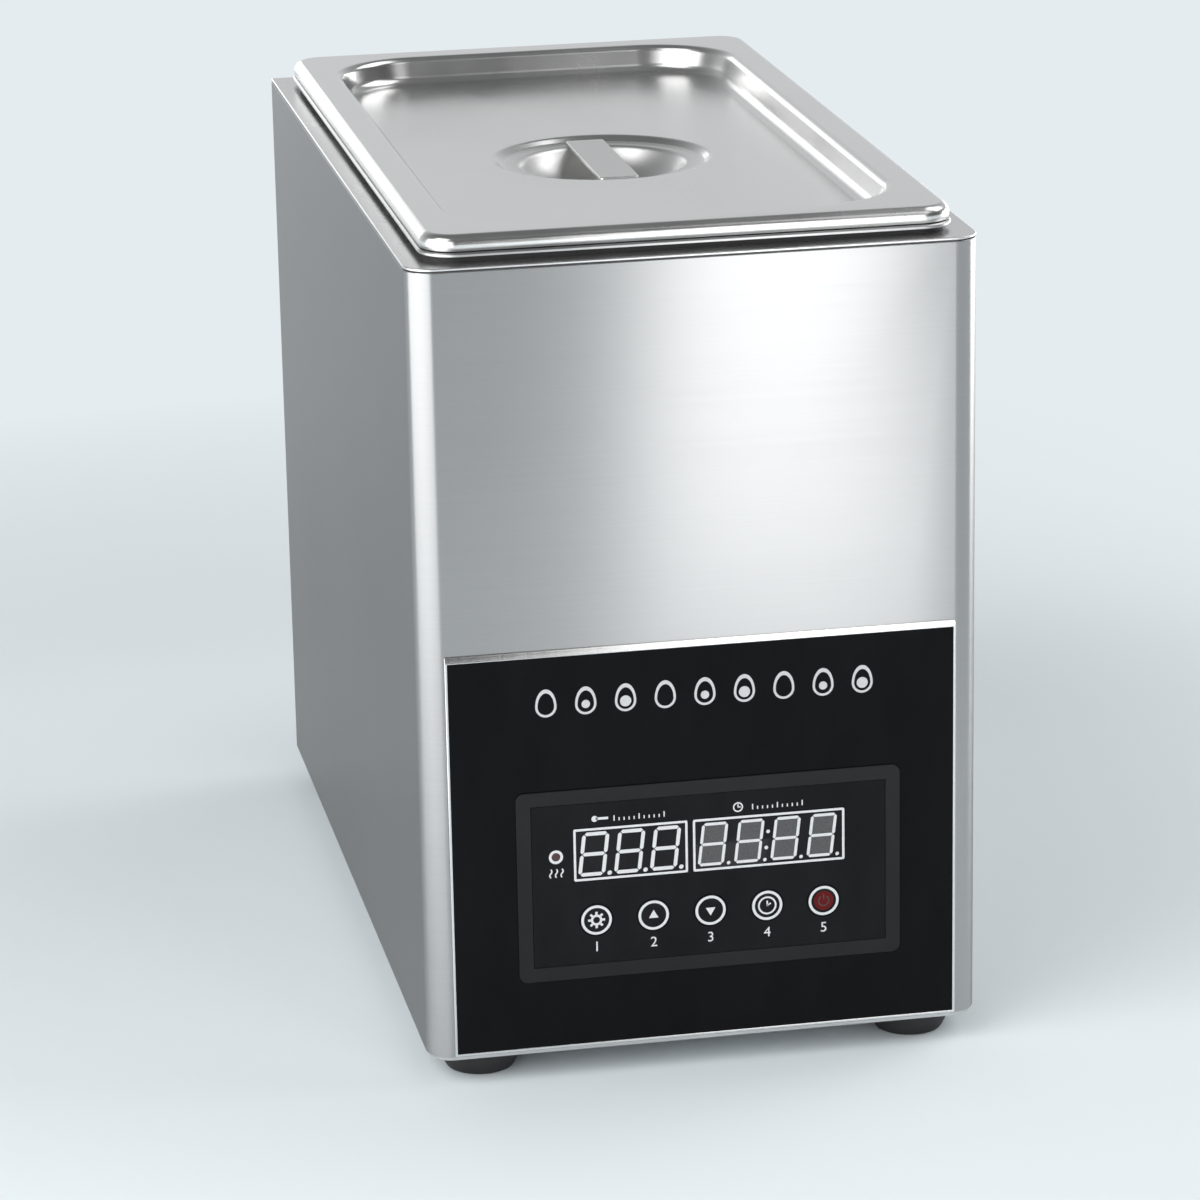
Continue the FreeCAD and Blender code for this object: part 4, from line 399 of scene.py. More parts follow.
def build_finish(name):
    """Make the finish of that name."""
    hue = colours()
    ways = {
        "casing_steel": lambda n: brushed_steel(n, hue.casing, 0.30),
        "deck_steel": lambda n: satin_steel(n, hue.bright, 0.30, 900.0, 0.00001),
        "lid_steel": lambda n: satin_steel(
            n, hue.bright, 0.23, depth=0.0000005, bowl=(0, middle("lid_strap").y, mm(278))),
        # Tank steel: a duller drawn sheet, and its colour is also set darker than the deck's to
        # paint shade on its rim, where the rim shows between the lid and the deck.
        "tank_steel": lambda n: satin_steel(n, (0.52, 0.52, 0.52), 0.30),
        "inner_steel": lambda n: satin_steel(n, (0.63, 0.63, 0.63), 0.36, 500.0),
        "trim_steel": lambda n: brushed_steel(
            n, (0.80, 0.80, 0.80), 0.20, (900, 900, 7), 0.4, False),
        "zinc": lambda n: plated(n, (0.60, 0.61, 0.63), 0.34),
        "black_panel": lambda n: glass_black(n, hue.panel, shine=0.10),
        "black_moulding": lambda n: moulding(n, (0.012, 0.012, 0.013), 0.36, 900.0, shine=0.22),
        "black_overlay": lambda n: glass_black(n, (0.007, 0.007, 0.008), 0.12),
        "display_black": lambda n: glass_black(n, (0.012, 0.012, 0.013), 0.05),
        "display_grey": lambda n: printed(n, (0.085, 0.085, 0.088), 0.3),
        "lamp": lambda n: moulding(n, (0.05, 0.008, 0.007), 0.16, 300.0, 0.00001, 0.6),
        "key_film": lambda n: glass_black(n, (0.008, 0.008, 0.009), 0.14),
        "key_power": lambda n: printed(n, (0.13, 0.006, 0.006), 0.35, shine=0.15),
        "ink_white": lambda n: printed(n, hue.ink),
        "ink_title": lambda n: printed(n, (0.66, 0.66, 0.67)),
        "rubber": lambda n: moulding(n, (0.016, 0.016, 0.016), 0.62, 700.0, 0.00008),
        "seal_rubber": lambda n: moulding(n, (0.030, 0.030, 0.031), 0.55, 600.0, 0.00006),
        "gasket_rubber": lambda n: moulding(n, (0.45, 0.12, 0.08), 0.5, 600.0, 0.00006),
        "brass_plated": lambda n: plated(n, (0.66, 0.65, 0.61), 0.22, 0.86),
        "plain_brass": lambda n: plated(n, (0.70, 0.52, 0.25), 0.26, 0.7),
        "circuit": laminate,
        "nylon_black": lambda n: moulding(n, (0.022, 0.022, 0.023), 0.45, 500.0, 0.00005),
        "nylon_white": lambda n: moulding(n, (0.78, 0.78, 0.75), 0.45, 500.0, 0.00005),
        "ceramic": lambda n: moulding(n, (0.82, 0.80, 0.74), 0.22, 260.0, 0.00003, 0.5),
        "iron_core": lambda n: plated(n, (0.20, 0.20, 0.21), 0.45, 0.6),
        "grip": lambda n: moulding(n, (0.42, 0.020, 0.018), 0.33, 420.0, 0.00005, 0.25),
    }
    return ways[name](name)


def finish(name):
    """The finish of that name, made when it is first asked for."""
    label = "boiler_" + name
    made = bpy.data.materials.get(label)
    if not made:
        made = build_finish(name)
        made.name = label
    return made


# ---------------------------------------------------------------- making meshes


def piece(name, bm, body, material, crease=32.0, edge=0.0, rounds=2, mend=True):
    """Turn a bmesh into a piece that rides on a body, with rounded edges if asked.

    Mending joins points that coincide and turns the faces outwards.
    """
    if mend:
        bmesh.ops.remove_doubles(bm, verts=bm.verts, dist=1e-7)
        bmesh.ops.recalc_face_normals(bm, faces=bm.faces)
    mesh = bpy.data.meshes.new(name)
    bm.to_mesh(mesh)
    bm.free()
    mesh.shade_smooth()
    mesh.set_sharp_from_angle(angle=radians(crease))
    made = bpy.data.objects.new(name, mesh)
    bpy.context.scene.collection.objects.link(made)
    made.data.materials.append(finish(material))
    if edge:
        soft = made.modifiers.new("Edges", "BEVEL")
        soft.width, soft.segments, soft.limit_method = edge, rounds, "ANGLE"
        soft.angle_limit = radians(crease)
        soft.use_clamp_overlap = False
        soft.harden_normals = True
    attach(made, body)
    return made


def dressed(node, body, material, edge, rounds=2, trim=None):
    """A frame part's own shape as a piece, its triangles joined and its edges rounded.

    A trim of (low, high, lift) moves what lies between two levels up a little.
    """
    bm = bmesh.new()
    bm.from_mesh(NODES[node].data)
    bmesh.ops.remove_doubles(bm, verts=bm.verts, dist=1e-6)
    if trim:
        low, high, lift = trim
        bmesh.ops.translate(
            bm, vec=(0, 0, lift), verts=[v for v in bm.verts if low < v.co.z < high])
    bmesh.ops.dissolve_limit(
        bm, angle_limit=radians(0.4), verts=bm.verts, edges=bm.edges, delimit={"NORMAL"})
    made = piece(
        node + "_sheet", bm, body, material, edge=edge, rounds=rounds, mend=False)
    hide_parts(node)
    return made


def rounded(bm, half_x, half_y, radius, z, steps):
    """A level outline with rounded corners; its edges are given back."""
    corners = [
        bm.verts.new((x * half_x, y * half_y, z))
        for x, y in ((-1, -1), (1, -1), (1, 1), (-1, 1))]
    face = bm.faces.new(corners)
    before = set(bm.faces) - {face}
    bmesh.ops.bevel(
        bm, geom=corners, offset=radius, offset_type="OFFSET", affect="VERTICES",
        segments=steps, profile=0.5, material=-1)
    new = [f for f in bm.faces if f not in before]
    edges = list({e for f in new for e in f.edges})
    bmesh.ops.delete(bm, geom=new, context="FACES_ONLY")
    return edges


def bridge(bm, loops):
    """Join each outline to the next with faces."""
    for first, second in zip(loops, loops[1:]):
        bmesh.ops.bridge_loops(bm, edges=first + second)


class Pressing:
    """A sheet drawn inwards from its rim, one rounded outline after another."""

    def __init__(self, half_x, half_y, radius, z, steps):
        self.bm = bmesh.new()
        self.edges = rounded(self.bm, half_x, half_y, radius, z, steps)
        self.now = (half_x, half_y, radius, 0.0)
        self.ahead = 0.0  # where the next outlines have their middle, along Y

    def to(self, half_x, half_y, radius, z):
        """Draw the sheet on to an outline; equal halves and radius make a circle."""
        out = bmesh.ops.extrude_edge_only(self.bm, edges=self.edges)["geom"]
        self.edges = [g for g in out if isinstance(g, bmesh.types.BMEdge)]
        old_x, old_y, old, old_middle = self.now
        for v in (g for g in out if isinstance(g, bmesh.types.BMVert)):
            x, y = v.co.x, v.co.y - old_middle
            side_x, side_y = (1 if x > 0 else -1), (1 if y > 0 else -1)
            way_x = (x - side_x * (old_x - old)) / old
            way_y = (y - side_y * (old_y - old)) / old
            v.co = (
                side_x * (half_x - radius) + way_x * radius,
                side_y * (half_y - radius) + way_y * radius + self.ahead, z)
        self.now = (half_x, half_y, radius, self.ahead)

    def turn(self, degrees, radius, outline, back=False, steps=6):
        """Draw it round a bend; outline gives the outline for a way across and a drop."""
        for k in range(steps + 1):
            a = radians(degrees) * (1 - k / steps if back else k / steps)
            self.to(*outline(radius * sin(a), radius * (1 - cos(a))))


def lathe(bm, profile, steps):
    """Spin a profile of points right round the Z axis."""
    points = [bm.verts.new(p) for p in profile]
    runs = [bm.edges.new(pair) for pair in zip(points, points[1:])]
    bmesh.ops.spin(
        bm, geom=points + runs, cent=(0, 0, 0), axis=(0, 0, 1), angle=2 * pi, steps=steps,
        use_merge=True)


def shift(bm, verts, matrix):
    """Move some of a mesh's vertices."""
    bmesh.ops.transform(bm, matrix=matrix, verts=verts)


# ---------------------------------------------------------------- drawing flat marks


class Drawing:
    """Flat printed marks, drawn in X and Y and then stood up on the panel."""

    def __init__(self):
        self.bm = bmesh.new()

    def fresh(self, before):
        """The vertices drawn since then."""
        return [v for v in self.bm.verts if v not in before]

    def bar(self, start, end, width, pointed=False):
        """A straight stroke."""
        bm, before = self.bm, set(self.bm.verts)
        start, end = Vector(start), Vector(end)
        along = (end - start).normalized()
        across = Vector((-along.y, along.x)) * width / 2
        corners = [
            bm.verts.new((*p, 0)) for p in
            (start - across, end - across, end + across, start + across)]
        bm.faces.new(corners)
        if pointed:
            bmesh.ops.bevel(
                bm, geom=corners, offset=width * 0.49, offset_type="OFFSET",
                affect="VERTICES", segments=1, profile=0.5, material=-1)
        return self.fresh(before)

    def arc(self, centre, radius, width, start=0.0, turn=360.0, steps=40):
        """A round stroke; a full turn is a ring."""
        bm, before = self.bm, set(self.bm.verts)
        way = Vector((cos(radians(start)), sin(radians(start))))
        ends = [
            bm.verts.new((*(Vector(centre) + way * r), 0))
            for r in (radius - width / 2, radius + width / 2)]
        run = bm.edges.new(ends)
        bmesh.ops.spin(
            bm, geom=ends + [run], cent=(*centre, 0), axis=(0, 0, 1), angle=radians(turn),
            steps=steps, use_merge=turn >= 360.0)
        return self.fresh(before)

    def disc(self, centre, radius, count):
        """A filled circle, or a polygon of few corners."""
        made = bmesh.ops.create_circle(
            self.bm, cap_ends=True, radius=radius, segments=count,
            matrix=Matrix.Translation((*centre, 0)))
        return made["verts"]

    def frame(self, low, high, width, radius):
        """A rectangle's outline with rounded corners."""
        bm, before = self.bm, set(self.bm.verts)
        half = (Vector(high) - Vector(low)) / 2
        outer = rounded(bm, half.x, half.y, radius, 0, 5)
        inner = rounded(bm, half.x - width, half.y - width, max(radius - width, 2e-4), 0, 5)
        bridge(bm, [outer, inner])
        new = self.fresh(before)
        shift(bm, new, Matrix.Translation((*((Vector(low) + Vector(high)) / 2), 0)))
        return new

    def lean(self, verts, foot, slant):
        """Slant marks to the right, with their foot kept."""
        matrix = Matrix.Identity(4)
        matrix[0][1] = slant
        shift(self.bm, verts, Matrix.Translation((0, foot, 0)) @ matrix
              @ Matrix.Translation((0, -foot, 0)))

    def print_on(self, name, depth_y, body, material, slot, height=None):
        """Thicken the marks and lay them on a face that looks along -Y."""
        bm = self.bm
        height = height or sizes().print_height
        bmesh.ops.remove_doubles(bm, verts=bm.verts, dist=1e-7)
        for f in bm.faces:
            if f.normal.z < 0:
                f.normal_flip()
        bmesh.ops.recalc_face_normals(bm, faces=bm.faces)
        out = bmesh.ops.extrude_face_region(bm, geom=bm.faces[:])
        raised = [g for g in out["geom"] if isinstance(g, bmesh.types.BMVert)]
        bmesh.ops.translate(bm, vec=(0, 0, height), verts=raised)
        bmesh.ops.transform(
            bm, verts=bm.verts, matrix=Matrix.Translation((0, depth_y, 0)) @ TO_FRONT)
        return piece(name, bm, body, material)


def draw_digit(pen, left, foot, height, stroke, slant):
    """One seven-segment figure with its decimal point."""
    wide, half, gap = height * DIGIT_WIDTH, height / 2, stroke * 0.16
    marks = []
    for level in (foot, foot + half, foot + height):
        marks += pen.bar((left + gap, level), (left + wide - gap, level), stroke, True)
    for side in (left, left + wide):
        for low in (foot, foot + half):
            marks += pen.bar((side, low + gap), (side, low + half - gap), stroke, True)
    marks += pen.disc((left + wide * 1.27, foot), stroke * 0.62, 16)
    pen.lean(marks, foot, slant)


def draw_egg(pen, centre, height, stroke, yolk):
    """An egg's outline, and its yolk as a disc."""
    wide = height * 0.37
    new = pen.arc(centre, wide, stroke)
    upper = [v for v in new if v.co.y > centre[1]]
    lift = Matrix.Diagonal((1, (height - wide) / wide, 1, 1))
    base = Matrix.Translation((0, centre[1], 0))
    shift(pen.bm, upper, base @ lift @ base.inverted())
    if yolk:
        pen.disc(centre, wide * yolk, 20)


# ---------------------------------------------------------------- operators


class BOILER_OT_studio(bpy.types.Operator):
    """Lay the floor, hang the lamps and set up the camera"""

    bl_idname = "boiler.studio"
    bl_label = "Studio"
    bl_options = {"REGISTER", "UNDO"}

    def execute(self, context):
        studio = context.scene.boiler_studio
        self.lay_floor(studio)
        self.hang_sky(studio)
        for name, *settings in LAMPS:
            self.lamp(name, getattr(studio, name), *settings)
        self.set_camera(studio)
        context.scene.view_settings.view_transform = "Standard"
        return {"FINISHED"}

    @staticmethod
    def lay_floor(studio):
        """A lit floor near the boiler that takes its shadow, and an even tone far off."""
        bm = bmesh.new()
        bmesh.ops.create_circle(bm, cap_ends=True, radius=14.0, segments=64)
        mesh = bpy.data.meshes.new("studio_floor")
        bm.to_mesh(mesh)
        bm.free()
        floor = bpy.data.objects.new("studio_floor", mesh)
        bpy.context.scene.collection.objects.link(floor)
        ground = Recipe("studio_floor")
        tone = ground.noise(ground.place(), 3.0, 2.0)
        away = ground.node("VectorMath", {0: ground.place()}, "Value", operation="LENGTH")
        ray = {kind: ground.node("LightPath", {}, f"Is {kind} Ray")
               for kind in ("Camera", "Glossy", "Transmission")}
        seen = ground.add(ground.add(ray["Camera"], ray["Glossy"]), ray["Transmission"])
        far = ground.node(
            "Math", {0: ground.span(away, 0.0, 1.0, studio.floor_lit, studio.floor_even), 1: seen},
            "Value", operation="MULTIPLY", use_clamp=True)
        near = ground.blend(
            tone, shade(colours().floor, 0.99), shade(colours().floor, 1.01))
        ground.wear(
            Base_Color=ground.blend(far, near, (0.0, 0.0, 0.0, 1.0)),
            Roughness=0.85,
            Specular_IOR_Level=0.0,
            Emission_Color=shade(colours().floor),
            Emission_Strength=ground.span(far, 0.0, studio.backdrop, 0.0, 1.0))
        mesh.materials.append(ground.material)

    def hang_sky(self, studio):
        """Even light from behind that fades to the front and to the zenith."""
        world = bpy.data.worlds.new("studio_sky")
        bpy.context.scene.world = world
        world.use_nodes = True
        tree = world.node_tree
        sky = next(n for n in tree.nodes if n.type == "BACKGROUND")
        sky.inputs["Color"].default_value = (0.97, 0.985, 1.0, 1)
        split = tree.nodes.new("ShaderNodeSeparateXYZ")
        tree.links.new(tree.nodes.new("ShaderNodeTexCoord").outputs["Generated"], split.inputs[0])
        depth = self.fade(tree, split.outputs["Y"], 0.0, 0.96, studio.before, studio.behind)
        rise = self.fade(tree, split.outputs["Z"], 0.25, 0.85, depth, studio.zenith)
        tree.links.new(rise, sky.inputs["Strength"])

    @staticmethod
    def set_camera(studio):
        """Set up the camera at the viewing angle."""
        camera = bpy.data.cameras.new("view")
        camera.lens, camera.sensor_width = studio.lens, 36.0
        camera.clip_start, camera.clip_end = 0.05, 60.0
        eye = bpy.data.objects.new("view", camera)
        bpy.context.scene.collection.objects.link(eye)
        turn, lift, roll = studio.turn, studio.lift, studio.roll
        back = Vector((sin(turn) * cos(lift), -cos(turn) * cos(lift), sin(lift)))
        right = Vector((cos(turn), sin(turn), 0))
        up = back.cross(right)
        side = cos(roll) * right + sin(roll) * up
        top = cos(roll) * up - sin(roll) * right
        eye.matrix_world = Matrix.Translation(studio.eye) @ Matrix(
            (side, top, back)).transposed().to_4x4()
        bpy.context.scene.camera = eye

    @staticmethod
    def fade(tree, amount, start, end, low, high):
        """Stretch a direction's part from start...end to low...high."""
        made = tree.nodes.new("ShaderNodeMapRange")
        made.inputs["From Min"].default_value = start
        made.inputs["From Max"].default_value = end
        tree.links.new(amount, made.inputs["Value"])
        for name, value in (("To Min", low), ("To Max", high)):
            if isinstance(value, bpy.types.NodeSocket):
                tree.links.new(value, made.inputs[name])
            else:
                made.inputs[name].default_value = value
        return made.outputs["Result"]

    @staticmethod
    def lamp(name, power, at, target, wide, tall, spread):
        """Hang a lamp that nobody sees directly and aim it."""
        light = bpy.data.lights.new(name, "AREA")
        light.spread = radians(spread)
        light.shape, light.size, light.size_y, light.energy = "RECTANGLE", wide, tall, power
        lamp = bpy.data.objects.new(name, light)
        bpy.context.scene.collection.objects.link(lamp)
        aim = (Vector(target) - Vector(at)).to_track_quat("-Z", "Y")
        lamp.matrix_world = Matrix.Translation(at) @ aim.to_matrix().to_4x4()
        lamp.visible_camera = False


class BOILER_OT_casing(bpy.types.Operator):
    """Fold the casing, back panel, deck and tray out of sheet"""

    bl_idname = "boiler.casing"
    bl_label = "Casing"
    bl_options = {"REGISTER", "UNDO"}

    def execute(self, context):
        size = context.scene.boiler_sizes
        dressed("outer_casing", "appliance", "casing_steel", size.sheet_break)
        dressed("back_panel", "appliance", "casing_steel", size.sheet_break)
        dressed("top_deck", "appliance", "deck_steel", size.sheet_break)
        dressed("base_tray", "appliance", "inner_steel", size.sheet_break)
        return {"FINISHED"}


class BOILER_OT_lid(bpy.types.Operator):
    """Press the recessed lid with its finger bowl"""

    bl_idname = "boiler.lid"
    bl_label = "Lid"
    bl_options = {"REGISTER", "UNDO"}

    def execute(self, context):
        size = context.scene.boiler_sizes
        low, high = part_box("lid_cover")
        half = (high - low) / 2
        top, floor, ahead = high.z, mm(280.4), mm(-8)
        step, bowl = floor - mm(2), floor - mm(14)
        corner, skirt = mm(11), mm(284.9)
        edge, brow, foot, lip = size.lid_edge, size.lid_brow, mm(4.5), mm(3.0)
        wall_lean, step_lean, bowl_lean = 72, 34, 60

        # Where each bend touches the flat beside it: half in X, half in Y, corner radius.
        rim_line = (half.x - edge, half.y - edge, corner - edge)
        brow_line = (mm(77.0), mm(149.9), mm(33.4))
        foot_line = (mm(68.4), mm(141.3), mm(24.8))

        def line(at, out, level):
            """An outline moved outwards, at a level."""
            return tuple(v + out for v in at) + (level,)

        def ring(radius, level):
            """A round outline."""
            return (radius,) * 3 + (level,)

        press = Pressing(half.x, half.y, corner, skirt, size.curve_steps)
        press.turn(90, edge, lambda across, down: line(rim_line, across, top - down), True, 8)
        press.turn(wall_lean, brow, lambda across, down: line(brow_line, -across, top - down))
        press.turn(wall_lean, foot, lambda across, up: line(foot_line, across, floor + up), True)
        press.ahead = ahead
        press.turn(step_lean, lip, lambda across, down: ring(mm(39.6) - across, floor - down))
        press.turn(step_lean, lip, lambda across, up: ring(mm(34.8) + across, step + up), True)
        press.turn(bowl_lean, mm(2.5), lambda across, down: ring(mm(31.2) - across, step - down))
        press.turn(
            bowl_lean, mm(21.5), lambda across, up: ring(mm(10.4) + across, bowl + up), True, 9)
        press.to(0, 0, 0, bowl)
        bm = press.bm
        bmesh.ops.remove_doubles(bm, verts=bm.verts, dist=1e-6)

        # The outer side looks up, and away from the middle on the upright skirt.
        wrong = [
            f for f in bm.faces
            if f.normal.z < -1e-3
            or abs(f.normal.z) < 1e-3 and f.normal.dot(f.calc_center_median()) < 0]
        bmesh.ops.reverse_faces(bm, faces=wrong)
        shift(bm, bm.verts, Matrix.Translation((0, middle("lid_cover").y, 0)))
        lid = piece("pressed_lid", bm, "lid", "lid_steel", crease=50.0, mend=False)
        sheet = lid.modifiers.new("Sheet", "SOLIDIFY")
        sheet.thickness, sheet.offset, sheet.use_even_offset = size.lid_sheet, -1.0, True
        even = lid.modifiers.new("Flats", "WEIGHTED_NORMAL")
        even.weight, even.keep_sharp = 90, True
        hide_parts("lid_cover")
        return {"FINISHED"}


class BOILER_OT_strap(bpy.types.Operator):
    """Lay the flat strap over the finger bowl"""

    bl_idname = "boiler.strap"
    bl_label = "Lid strap"
    bl_options = {"REGISTER", "UNDO"}

    def execute(self, context):
        dressed("lid_strap", "lid", "lid_steel", mm(0.5), 3)
        return {"FINISHED"}


class BOILER_OT_feet(bpy.types.Operator):
    """Turn the four rubber feet"""

    bl_idname = "boiler.feet"
    bl_label = "Feet"
    bl_options = {"REGISTER", "UNDO"}

    def execute(self, context):
        bm = bmesh.new()
        profile = [
            mm(3.6, 0, 8.4), mm(14.2, 0, 8.4), mm(14.8, 0, 8.2), mm(15, 0, 7.6), mm(14.7, 0, 6.6),
            mm(11.9, 0, 1.0), mm(11.4, 0, 0.3), mm(10.6, 0, 0.0), mm(8.2, 0, 0.0), mm(7.6, 0, 0.4),
            mm(7.4, 0, 1.2), mm(7.4, 0, 4.2), mm(3.6, 0, 4.2), mm(3.6, 0, 8.4)]
        low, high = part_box("feet")
        for x in (low.x + mm(15), high.x - mm(15)):
            for y in (low.y + mm(15), high.y - mm(15)):
                before = set(bm.verts)
                lathe(bm, profile, 48)
                shift(bm, [v for v in bm.verts if v not in before], Matrix.Translation((x, y, 0)))
        feet = piece("turned_feet", bm, "appliance", "rubber", crease=45.0)
        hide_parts("feet")
        return {"FINISHED"}


class BOILER_OT_hardware(bpy.types.Operator):
    """Round the edges of the screws, nuts and drain cock"""

    bl_idname = "boiler.hardware"
    bl_label = "Hardware"
    bl_options = {"REGISTER", "UNDO"}

    def execute(self, context):
        size = context.scene.boiler_sizes
        edge = size.hardware_break
        for node, material in (
                ("foot_screws", "zinc"), ("back_panel_screws", "zinc"),
                ("drain_pipe", "inner_steel"), ("pipe_grommet", "seal_rubber"),
                ("cock_body", "brass_plated"), ("cable_gland", "nylon_black"),
                ("gland_nut", "nylon_black")):
            dressed(node, "appliance", material, edge)
        for node, material in (
                ("cock_plug", "brass_plated"), ("keeper_washer", "zinc"),
                ("keeper_nut", "zinc"), ("cock_lever", "zinc"), ("lever_nut", "zinc")):
            dressed(node, "drain_handle", material, edge)
        dressed("lever_grip", "drain_handle", "grip", mm(1.2), 4)
        return {"FINISHED"}


class BOILER_OT_inside(bpy.types.Operator):
    """Smooth the tank, the basket and the parts over the tank's floor"""

    bl_idname = "boiler.inside"
    bl_label = "Tank and basket"
    bl_options = {"REGISTER", "UNDO"}

    def execute(self, context):
        under_lip = (mm(282), mm(282.6), mm(0.6))  # raised, which makes the rim's lip thinner
        dressed("water_tank", "appliance", "tank_steel", mm(0.2), trim=under_lip)
        dressed("element_guard", "appliance", "inner_steel", mm(0.2))
        dressed("heating_element", "appliance", "inner_steel", 0.0)
        dressed("temperature_probe", "appliance", "inner_steel", mm(0.2))
        dressed("egg_basket", "basket", "inner_steel", mm(0.15), 2)
        dressed("basket_handles", "basket", "inner_steel", 0.0)
        return {"FINISHED"}


class BOILER_OT_panel(bpy.types.Operator):
    """Mount the black panel, its frame and the controller's bezel"""

    bl_idname = "boiler.panel"
    bl_label = "Control panel"
    bl_options = {"REGISTER", "UNDO"}

    def execute(self, context):
        dressed("panel_trim", "appliance", "trim_steel", mm(0.25))
        dressed("control_panel", "appliance", "black_panel", mm(0.15))
        dressed("controller_housing", "appliance", "black_moulding", mm(0.25), 3)
        dressed("keypad_overlay", "appliance", "black_overlay", mm(0.08))
        for node in ("temperature_display", "timer_display"):
            dressed(node, "appliance", "display_black", mm(0.1))
        return {"FINISHED"}


class BOILER_OT_displays(bpy.types.Operator):
    """Print the displays' figures and the lines round them"""

    bl_idname = "boiler.displays"
    bl_label = "Displays"
    bl_options = {"REGISTER", "UNDO"}

    def execute(self, context):
        size = context.scene.boiler_sizes
        height, slant, margin = size.digit_height, size.digit_slant, mm(1.3)
        wide = height * DIGIT_WIDTH
        border = Drawing()
        for node, count, stroke in (
                ("temperature_display", 3, mm(1.25)), ("timer_display", 4, mm(1.0))):
            low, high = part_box(node)
            border.frame((low.x, low.z), (high.x, high.z), mm(0.8), mm(0.6))
            pen, cells = Drawing(), Drawing()
            pitch = (high.x - low.x - mm(2.2)) / count
            foot = middle(node).z - height / 2
            for place in range(count):
                left = low.x + margin + pitch * (place + 0.06)
                draw_digit(pen, left, foot, height, stroke, slant)
                if node == "timer_display":
                    across = left + wide / 2
                    cell = cells.bar((across, foot), (across, foot + height), wide)
                    cells.lean(cell, foot, slant)
            if node == "timer_display":
                colon = low.x + margin + pitch * 2 - mm(1.6)
                for level in (height * 0.3, height * 0.7):
                    pen.disc((colon + level * slant, foot + level), mm(0.65), 16)
                cells.print_on(
                    "timer_cells", low.y + mm(0.29), "appliance", "display_grey", "display_black")
            pen.print_on(
                node + "_figures", low.y + mm(0.22), "appliance", "ink_white", "display_black")
        border.print_on(
            "display_lines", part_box("timer_display")[0].y, "appliance", "ink_white",
            "display_black")
        return {"FINISHED"}


class BOILER_OT_keys(bpy.types.Operator):
    """Make the five keys with their rings and signs"""

    bl_idname = "boiler.keys"
    bl_label = "Keys"
    bl_options = {"REGISTER", "UNDO"}

    def execute(self, context):
        size = context.scene.boiler_sizes
        signs = {
            "setting": self.gear,
            "raise": lambda pen, at: self.arrow(pen, at, 0),
            "lower": lambda pen, at: self.arrow(pen, at, pi),
            "timer": self.clock,
            "power": self.power,
        }
        radius, collar, proud = mm(5.65), mm(7.2), mm(1.0)
        profile = [
            (0, 0, mm(0.95)), (radius - mm(0.35), 0, mm(0.95)), (radius - mm(0.1), 0, mm(0.86)),
            (radius, 0, mm(0.6)), (radius, 0, 0), (collar, 0, 0), (collar, 0, mm(-0.8)),
            (0, 0, mm(-0.8))]
        for name in FRONT_KEYS:
            face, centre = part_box(name + "_key")[0].y, middle(name + "_key")
            at = (centre.x, centre.z)
            bm = bmesh.new()
            lathe(bm, profile, 56)
            shift(
                bm, bm.verts,
                Matrix.Translation((centre.x, face + proud, centre.z)) @ TO_FRONT)
            key = piece(name + "_disc", bm, name + "_button", "key_film", crease=30.0)
            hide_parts(name + "_key")
            pen = Drawing()
            pen.arc(at, mm(4.75), mm(0.9), steps=64)
            signs[name](pen, at)
            pen.print_on(
                name + "_sign", face + size.print_height, name + "_button", "ink_white",
                "key_power" if name == "power" else "key_film")
        return {"FINISHED"}

    @staticmethod
    def gear(pen, at):
        """A ring with eight teeth."""
        pen.arc(at, mm(1.55), mm(0.8))
        for k in range(8):
            a = 2 * pi * k / 8
            way = Vector((cos(a), sin(a)))
            pen.bar(Vector(at) + way * mm(1.85), Vector(at) + way * mm(2.9), mm(0.8))

    @staticmethod
    def arrow(pen, at, turn):
        """A triangle, turned by an angle."""
        made = pen.disc((0, 0), mm(1.9), 3)
        shift(pen.bm, made, Matrix.Translation((*at, 0)) @ Matrix.Rotation(turn, 4, "Z"))

    @staticmethod
    def clock(pen, at):
        """A clock's face with two hands."""
        pen.arc(at, mm(2.9), mm(0.6))
        pen.bar((at[0], at[1] - mm(0.3)), (at[0], at[1] + mm(1.7)), mm(0.55))
        pen.bar((at[0] - mm(0.2), at[1] - mm(0.1)), (at[0] + mm(1.2), at[1] + mm(0.7)), mm(0.5))

    @staticmethod
    def power(pen, at):
        """A red spot inside the ring, with the usual sign in a darker red."""
        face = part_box("power_key")[0].y + sizes().print_height
        spot, sign = Drawing(), Drawing()
        spot.disc(at, mm(3.4), 40)
        spot.print_on("power_spot", face, "power_button", "key_power", "key_power", mm(0.03))
        sign.arc(at, mm(1.75), mm(0.5), 125, 290, 30)
        sign.bar((at[0], at[1] + mm(0.5)), (at[0], at[1] + mm(2.3)), mm(0.5))
        sign.print_on("power_mark", face, "power_button", "lamp", "key_power")


